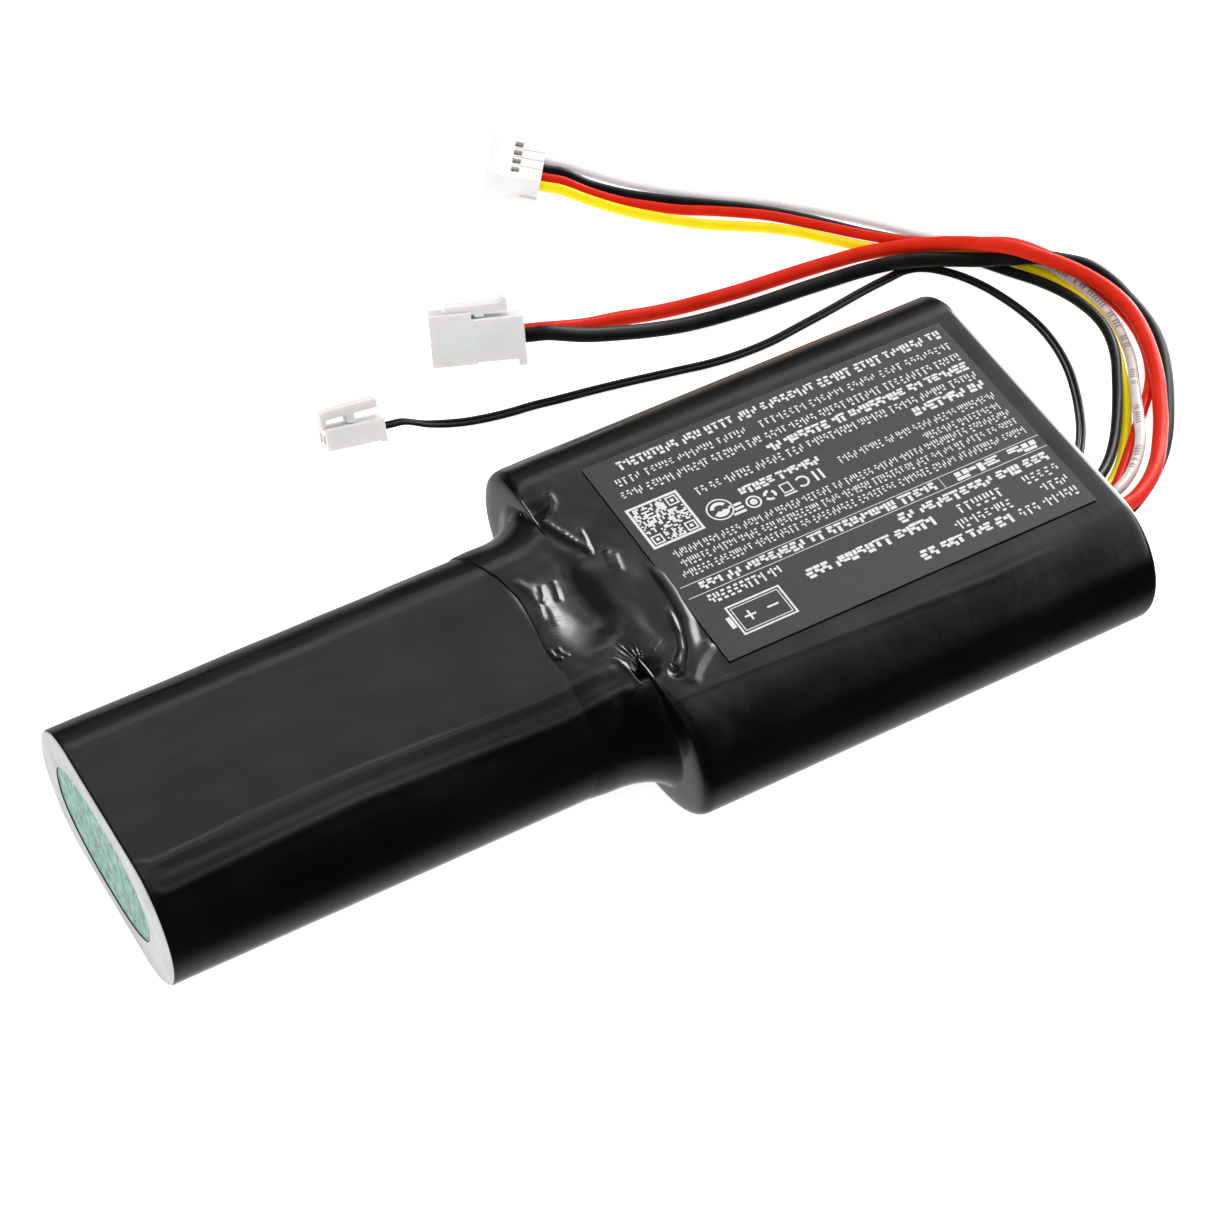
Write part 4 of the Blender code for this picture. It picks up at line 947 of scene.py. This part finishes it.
def add_arc(bm, s, t, outer, inner, first=0.0, last=360.0):
    """A raised arc of ink. A whole turn is one closed ring."""
    whole = last - first >= 360
    turns = np.radians(np.linspace(first, last, 33))
    rings = []
    for a in turns[:-1] if whole else turns:
        section = []
        for radius, rise in ((inner, 0), (outer, 0), (outer, INK), (inner, INK)):
            x, y = LABEL_RIGHT - s - radius * math.cos(a), LABEL_TOP + t + radius * math.sin(a)
            section.append(bm.verts.new((x, y, LABEL_FACE + rise)))
        rings.append(section)
    for one, two in zip(rings, rings[1:] + (rings[:1] if whole else [])):
        for k in range(4):
            bm.faces.new((one[k], one[(k + 1) % 4], two[(k + 1) % 4], two[k]))
    if not whole:
        bm.faces.new(rings[0])
        bm.faces.new(rings[-1])


def add_symbols(bm):
    """A row of plain signs: arcs, bars, rings and a disc, none of them a real mark."""
    t = 21.9
    add_strokes(bm, [(s, t - 0.9, s + 0.35, t + 0.9) for s in (28.4, 29.3)])
    add_arc(bm, 31.4, t, 0.95, 0.66, 40, 320)
    add_strokes(bm, frame_strokes(33.0, t - 0.75, 34.5, t + 0.9, 0.2) + [(32.8, t - 1.2, 34.7, t - 0.95)])
    for k in range(3):
        add_arc(bm, 36.2, t, 0.9, 0.5, 120 * k + 12, 120 * k + 96)
    add_arc(bm, 38.6, t, 1.05, 0.8)
    add_arc(bm, 38.6, t, 0.5, 0.08)
    for side, end in ((-0.7, 41.9), (0.0, 41.4), (0.7, 41.9)):
        add_strokes(bm, [(40.1, t + side - 0.2, end, t + side + 0.2)])
    t = 22.85
    add_arc(bm, 43.0, t, 1.8, 1.6)
    add_arc(bm, 43.0, t, 1.25, 0.35, 200, 330)
    add_arc(bm, 43.0, t, 1.25, 0.75, 20, 150)


def add_emblem(bm):
    """An outline of a cell with its two poles, in the label's corner."""
    left, right, top, bottom = 43.2, 51.0, 3.6, 8.6
    add_strokes(bm, frame_strokes(left, top, right, bottom, 0.26))
    add_strokes(bm, frame_strokes(left + 0.5, top + 0.5, right - 0.5, bottom - 0.5, 0.12))
    middle, minus, plus = (top + bottom) / 2, left + 2.3, right - 2.3
    add_strokes(bm, [(right + 0.15, middle - 0.95, right + 0.75, middle + 0.95),
                     (minus - 0.8, middle - 0.14, minus + 0.8, middle + 0.14),
                     (plus - 0.8, middle - 0.14, plus + 0.8, middle + 0.14),
                     (plus - 0.14, middle - 0.8, plus + 0.14, middle - 0.16),
                     (plus - 0.14, middle + 0.16, plus + 0.14, middle + 0.8)])


def make_label(finish):
    numbers = random.Random(7)
    bm = bmesh.new()
    for middle, height, runs in LINES:
        for start, end, weight, share in runs:
            add_strokes(bm, word_strokes(numbers, start, end, middle, height, weight, share))
    add_strokes(bm, word_strokes(numbers, 41.6, 53.2, 10.6, 1.5, 0.9, 0.62))
    add_strokes(bm, [(0.8, 11.86, 54.0, 11.95), (0.8, 13.94, 54.0, 14.03), (16.1, 12.05, 16.18, 13.85)])
    add_strokes(bm, matrix_strokes(numbers, 46.6, 21.5, 6.55, 23))
    add_symbols(bm)
    add_emblem(bm)
    bmesh.ops.recalc_face_normals(bm, faces=bm.faces)
    bm.transform(Matrix.Scale(MM, 4))
    item = object_from(bm, "label_print", finish["ink"])
    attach(item, "pack")


# Connectors

def rounded_copy(node, name, body, made_of, width):
    """The CAD piece with its moulded edges rounded."""
    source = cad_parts[node]
    bm = bmesh.new()
    bm.from_mesh(source.data)
    bmesh.ops.remove_doubles(bm, verts=bm.verts, dist=2e-6)
    bmesh.ops.dissolve_limit(bm, angle_limit=math.radians(1), verts=bm.verts, edges=bm.edges)
    sharp = [e for e in bm.edges if len(e.link_faces) == 2 and e.calc_face_angle() > math.radians(25)]
    bmesh.ops.bevel(bm, geom=sharp, offset=width * MM, segments=2, profile=0.6, affect="EDGES",
                    clamp_overlap=True)
    bmesh.ops.recalc_face_normals(bm, faces=bm.faces)
    item = object_from(bm, name, made_of)
    item.data.shade_smooth()
    item.data.set_sharp_from_angle(angle=math.radians(30))
    item.matrix_world = source.matrix_world.copy()
    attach(item, body)
    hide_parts(node)


def make_connectors(finish):
    for name, slot in (("balance", "nylon"), ("power", "nylon_power"), ("sensor", "nylon_sensor")):
        rounded_copy(name + "_housing", "shell_" + name, "pack", finish[slot], 0.1)
        if name != "balance":
            rounded_copy(name + "_latch", "lever_" + name, name + "_latch", finish[slot], 0.16)
    make_crimp_tongues(finish["brass"])


TONGUE_BOXES = [  # around each contact, low and high corner
    ((-0.42, -0.5, 0.32), (0.62, 0.5, 1.05)), ((-0.1, -0.3, 1.07), (0.5, -0.05, 1.75)),
    ((-0.35, 0.02, 1.07), (0.1, 0.4, 1.55))]


def make_crimp_tongues(made_of):
    """The metal of the balance connector's contacts, seen through its four windows, coloured dark as painted
    shade of the window recesses.
    """
    bm = bmesh.new()
    for way in range(BALANCE["ways"]):
        across = Vector((0, way_offset(BALANCE, way), 0))
        for low, high in TONGUE_BOXES:
            add_box(bm, Vector(low) + across, Vector(high) + across)
    bm.transform(Matrix.Scale(MM, 4) @ Matrix.Translation(BALANCE["place"]) @ attitude(BALANCE).to_4x4())
    item = object_from(bm, "crimp_tongues", made_of)
    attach(item, "pack")


# Finishes of the CAD nodes that stay

NODE_FINISH = {
    "wide_sleeve": "film", "narrow_sleeve": "film_narrow", "rating_label": "label",
    "thermistor_bead": "epoxy", "adhesive_bead": "adhesive", "balance_housing": "nylon",
    "power_housing": "nylon_power", "power_latch": "nylon_power", "sensor_housing": "nylon_sensor",
    "sensor_latch": "nylon_sensor", "wire_sensor_a": "jacket_sensor", "wire_sensor_b": "jacket_sensor",
    **{"wire_" + name: slot for name, _, _, _, slot in LEADS}}
FINISH_BY_WORD = {"paper": "paper", "_can": "can_steel", "_cap": "can_steel", "_wrap": "cell_wrap",
                  "_gasket": "gasket", "tab_": "nickel", "inner_lead": "inner_jacket", "_contact": "brass"}


def node_finish(node):
    """The finish of a CAD node by its name, or else by a word in it."""
    if node in NODE_FINISH:
        return NODE_FINISH[node]
    return next(finish for word, finish in FINISH_BY_WORD.items() if word in node)


def finish_nodes(finish):
    for name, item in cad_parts.items():
        item.data.materials.clear()
        item.data.materials.append(finish[node_finish(name)])


# Studio

def make_floor():
    paper, tree = new_material("floor_paper", (0.93, 0.93, 0.93), 0.9, Emission_Color=(1, 1, 1, 1),
                               Emission_Strength=0.8)
    drive(tree, mottled(tree, 30, (0.92, 0.92, 0.92), (0.94, 0.94, 0.94)), "Base Color")
    mesh = bpy.data.meshes.new("floor")
    side, under = 4.0, -0.0002
    mesh.from_pydata([(x * side, y * side, under) for x, y in ((-1, -1), (1, -1), (1, 1), (-1, 1))],
                     [], [(0, 1, 2, 3)])
    mesh.materials.append(paper)
    floor = add_object("floor", mesh)
    floor.visible_glossy = False


def make_world():
    """A white room for the matt surfaces. Glossy ones see a dark studio with a wall of light behind
    the pack, two brighter strips in it, a bright panel and a lamp on the right, and a pale floor."""
    world = bpy.data.worlds.new("studio")
    world.use_nodes = True
    world.cycles.sampling_method = "NONE"
    bpy.context.scene.world = world
    tree = world.node_tree
    room = tree.nodes["Background"]
    room.inputs["Color"].default_value = (1, 1, 1, 1)
    room.inputs["Strength"].default_value = 1.0
    x, y, z = coordinates(tree, "Generated")

    def rise(value, start, end, low, high):
        return spread(tree, value, low, high, start, end, interpolation_type="SMOOTHSTEP")

    def product(*values):
        return compute(tree, "MULTIPLY", *values)

    def total(*values):
        return compute(tree, "ADD", *values)

    wall = product(rise(y, -0.75, 0.4, 0.01, 0.84), rise(y, 0.57, 0.82, 1.0, 0.4))
    broad_strip = product(rise(y, 0.1, 0.25, 0.0, 0.4), rise(y, 0.36, 0.48, 1.0, 0.0))
    thin_strip = product(rise(y, 0.6, 0.68, 0.0, 1.2), rise(y, 0.74, 0.84, 1.0, 0.0))
    upper = product(total(wall, broad_strip, thin_strip), rise(z, 0.0, 0.5, 0.15, 1.0),
                    rise(x, -0.35, 0.25, 0.3, 1.0))
    panel = product(rise(x, 0.4, 0.72, 0.0, 4.0), rise(z, 0.1, 0.4, 0.0, 1.0))
    lamp = product(rise(y, 0.25, 0.35, 0.0, 1.0), rise(y, 0.55, 0.65, 1.0, 0.0),
                   rise(x, 0.56, 0.66, 0.0, 11.0))
    ground = total(rise(z, -0.97, -0.5, 0.6, 0.0), rise(y, 0.0, 0.45, 0.01, 0.5))
    lower = product(ground, rise(z, -0.3, 0.05, 1.0, 0.0))
    studio = tree.nodes.new("ShaderNodeBackground")
    tree.links.new(total(upper, lower, panel, lamp), studio.inputs["Strength"])
    path = tree.nodes.new("ShaderNodeLightPath")
    mix = tree.nodes.new("ShaderNodeMixShader")
    for source, target in ((path.outputs["Is Glossy Ray"], mix.inputs["Fac"]),
                           (room.outputs["Background"], mix.inputs[1]),
                           (studio.outputs["Background"], mix.inputs[2]),
                           (mix.outputs["Shader"], tree.nodes["World Output"].inputs["Surface"])):
        tree.links.new(source, target)


def make_key_light():
    """A square soft light aimed at the pack, which leaves no spot on glossy surfaces."""
    data = bpy.data.lights.new("key", "AREA")
    data.size, data.energy = 0.7, 3.0
    light = add_object("key", data)
    light.location = (0.25, 0.55, 0.9)
    aim = Vector((0.0, 0.02, 0.0)) - light.location
    light.rotation_euler = aim.to_track_quat("-Z", "Y").to_euler()
    light.visible_glossy = False


def make_studio():
    bpy.context.scene.view_settings.view_transform = "Standard"
    make_floor()
    make_world()
    make_key_light()


make_camera()
finishes = make_materials()
make_connectors(finishes)
make_leads(finishes)
make_sleeves(finishes)
make_label(finishes)
finish_nodes(finishes)
make_studio()
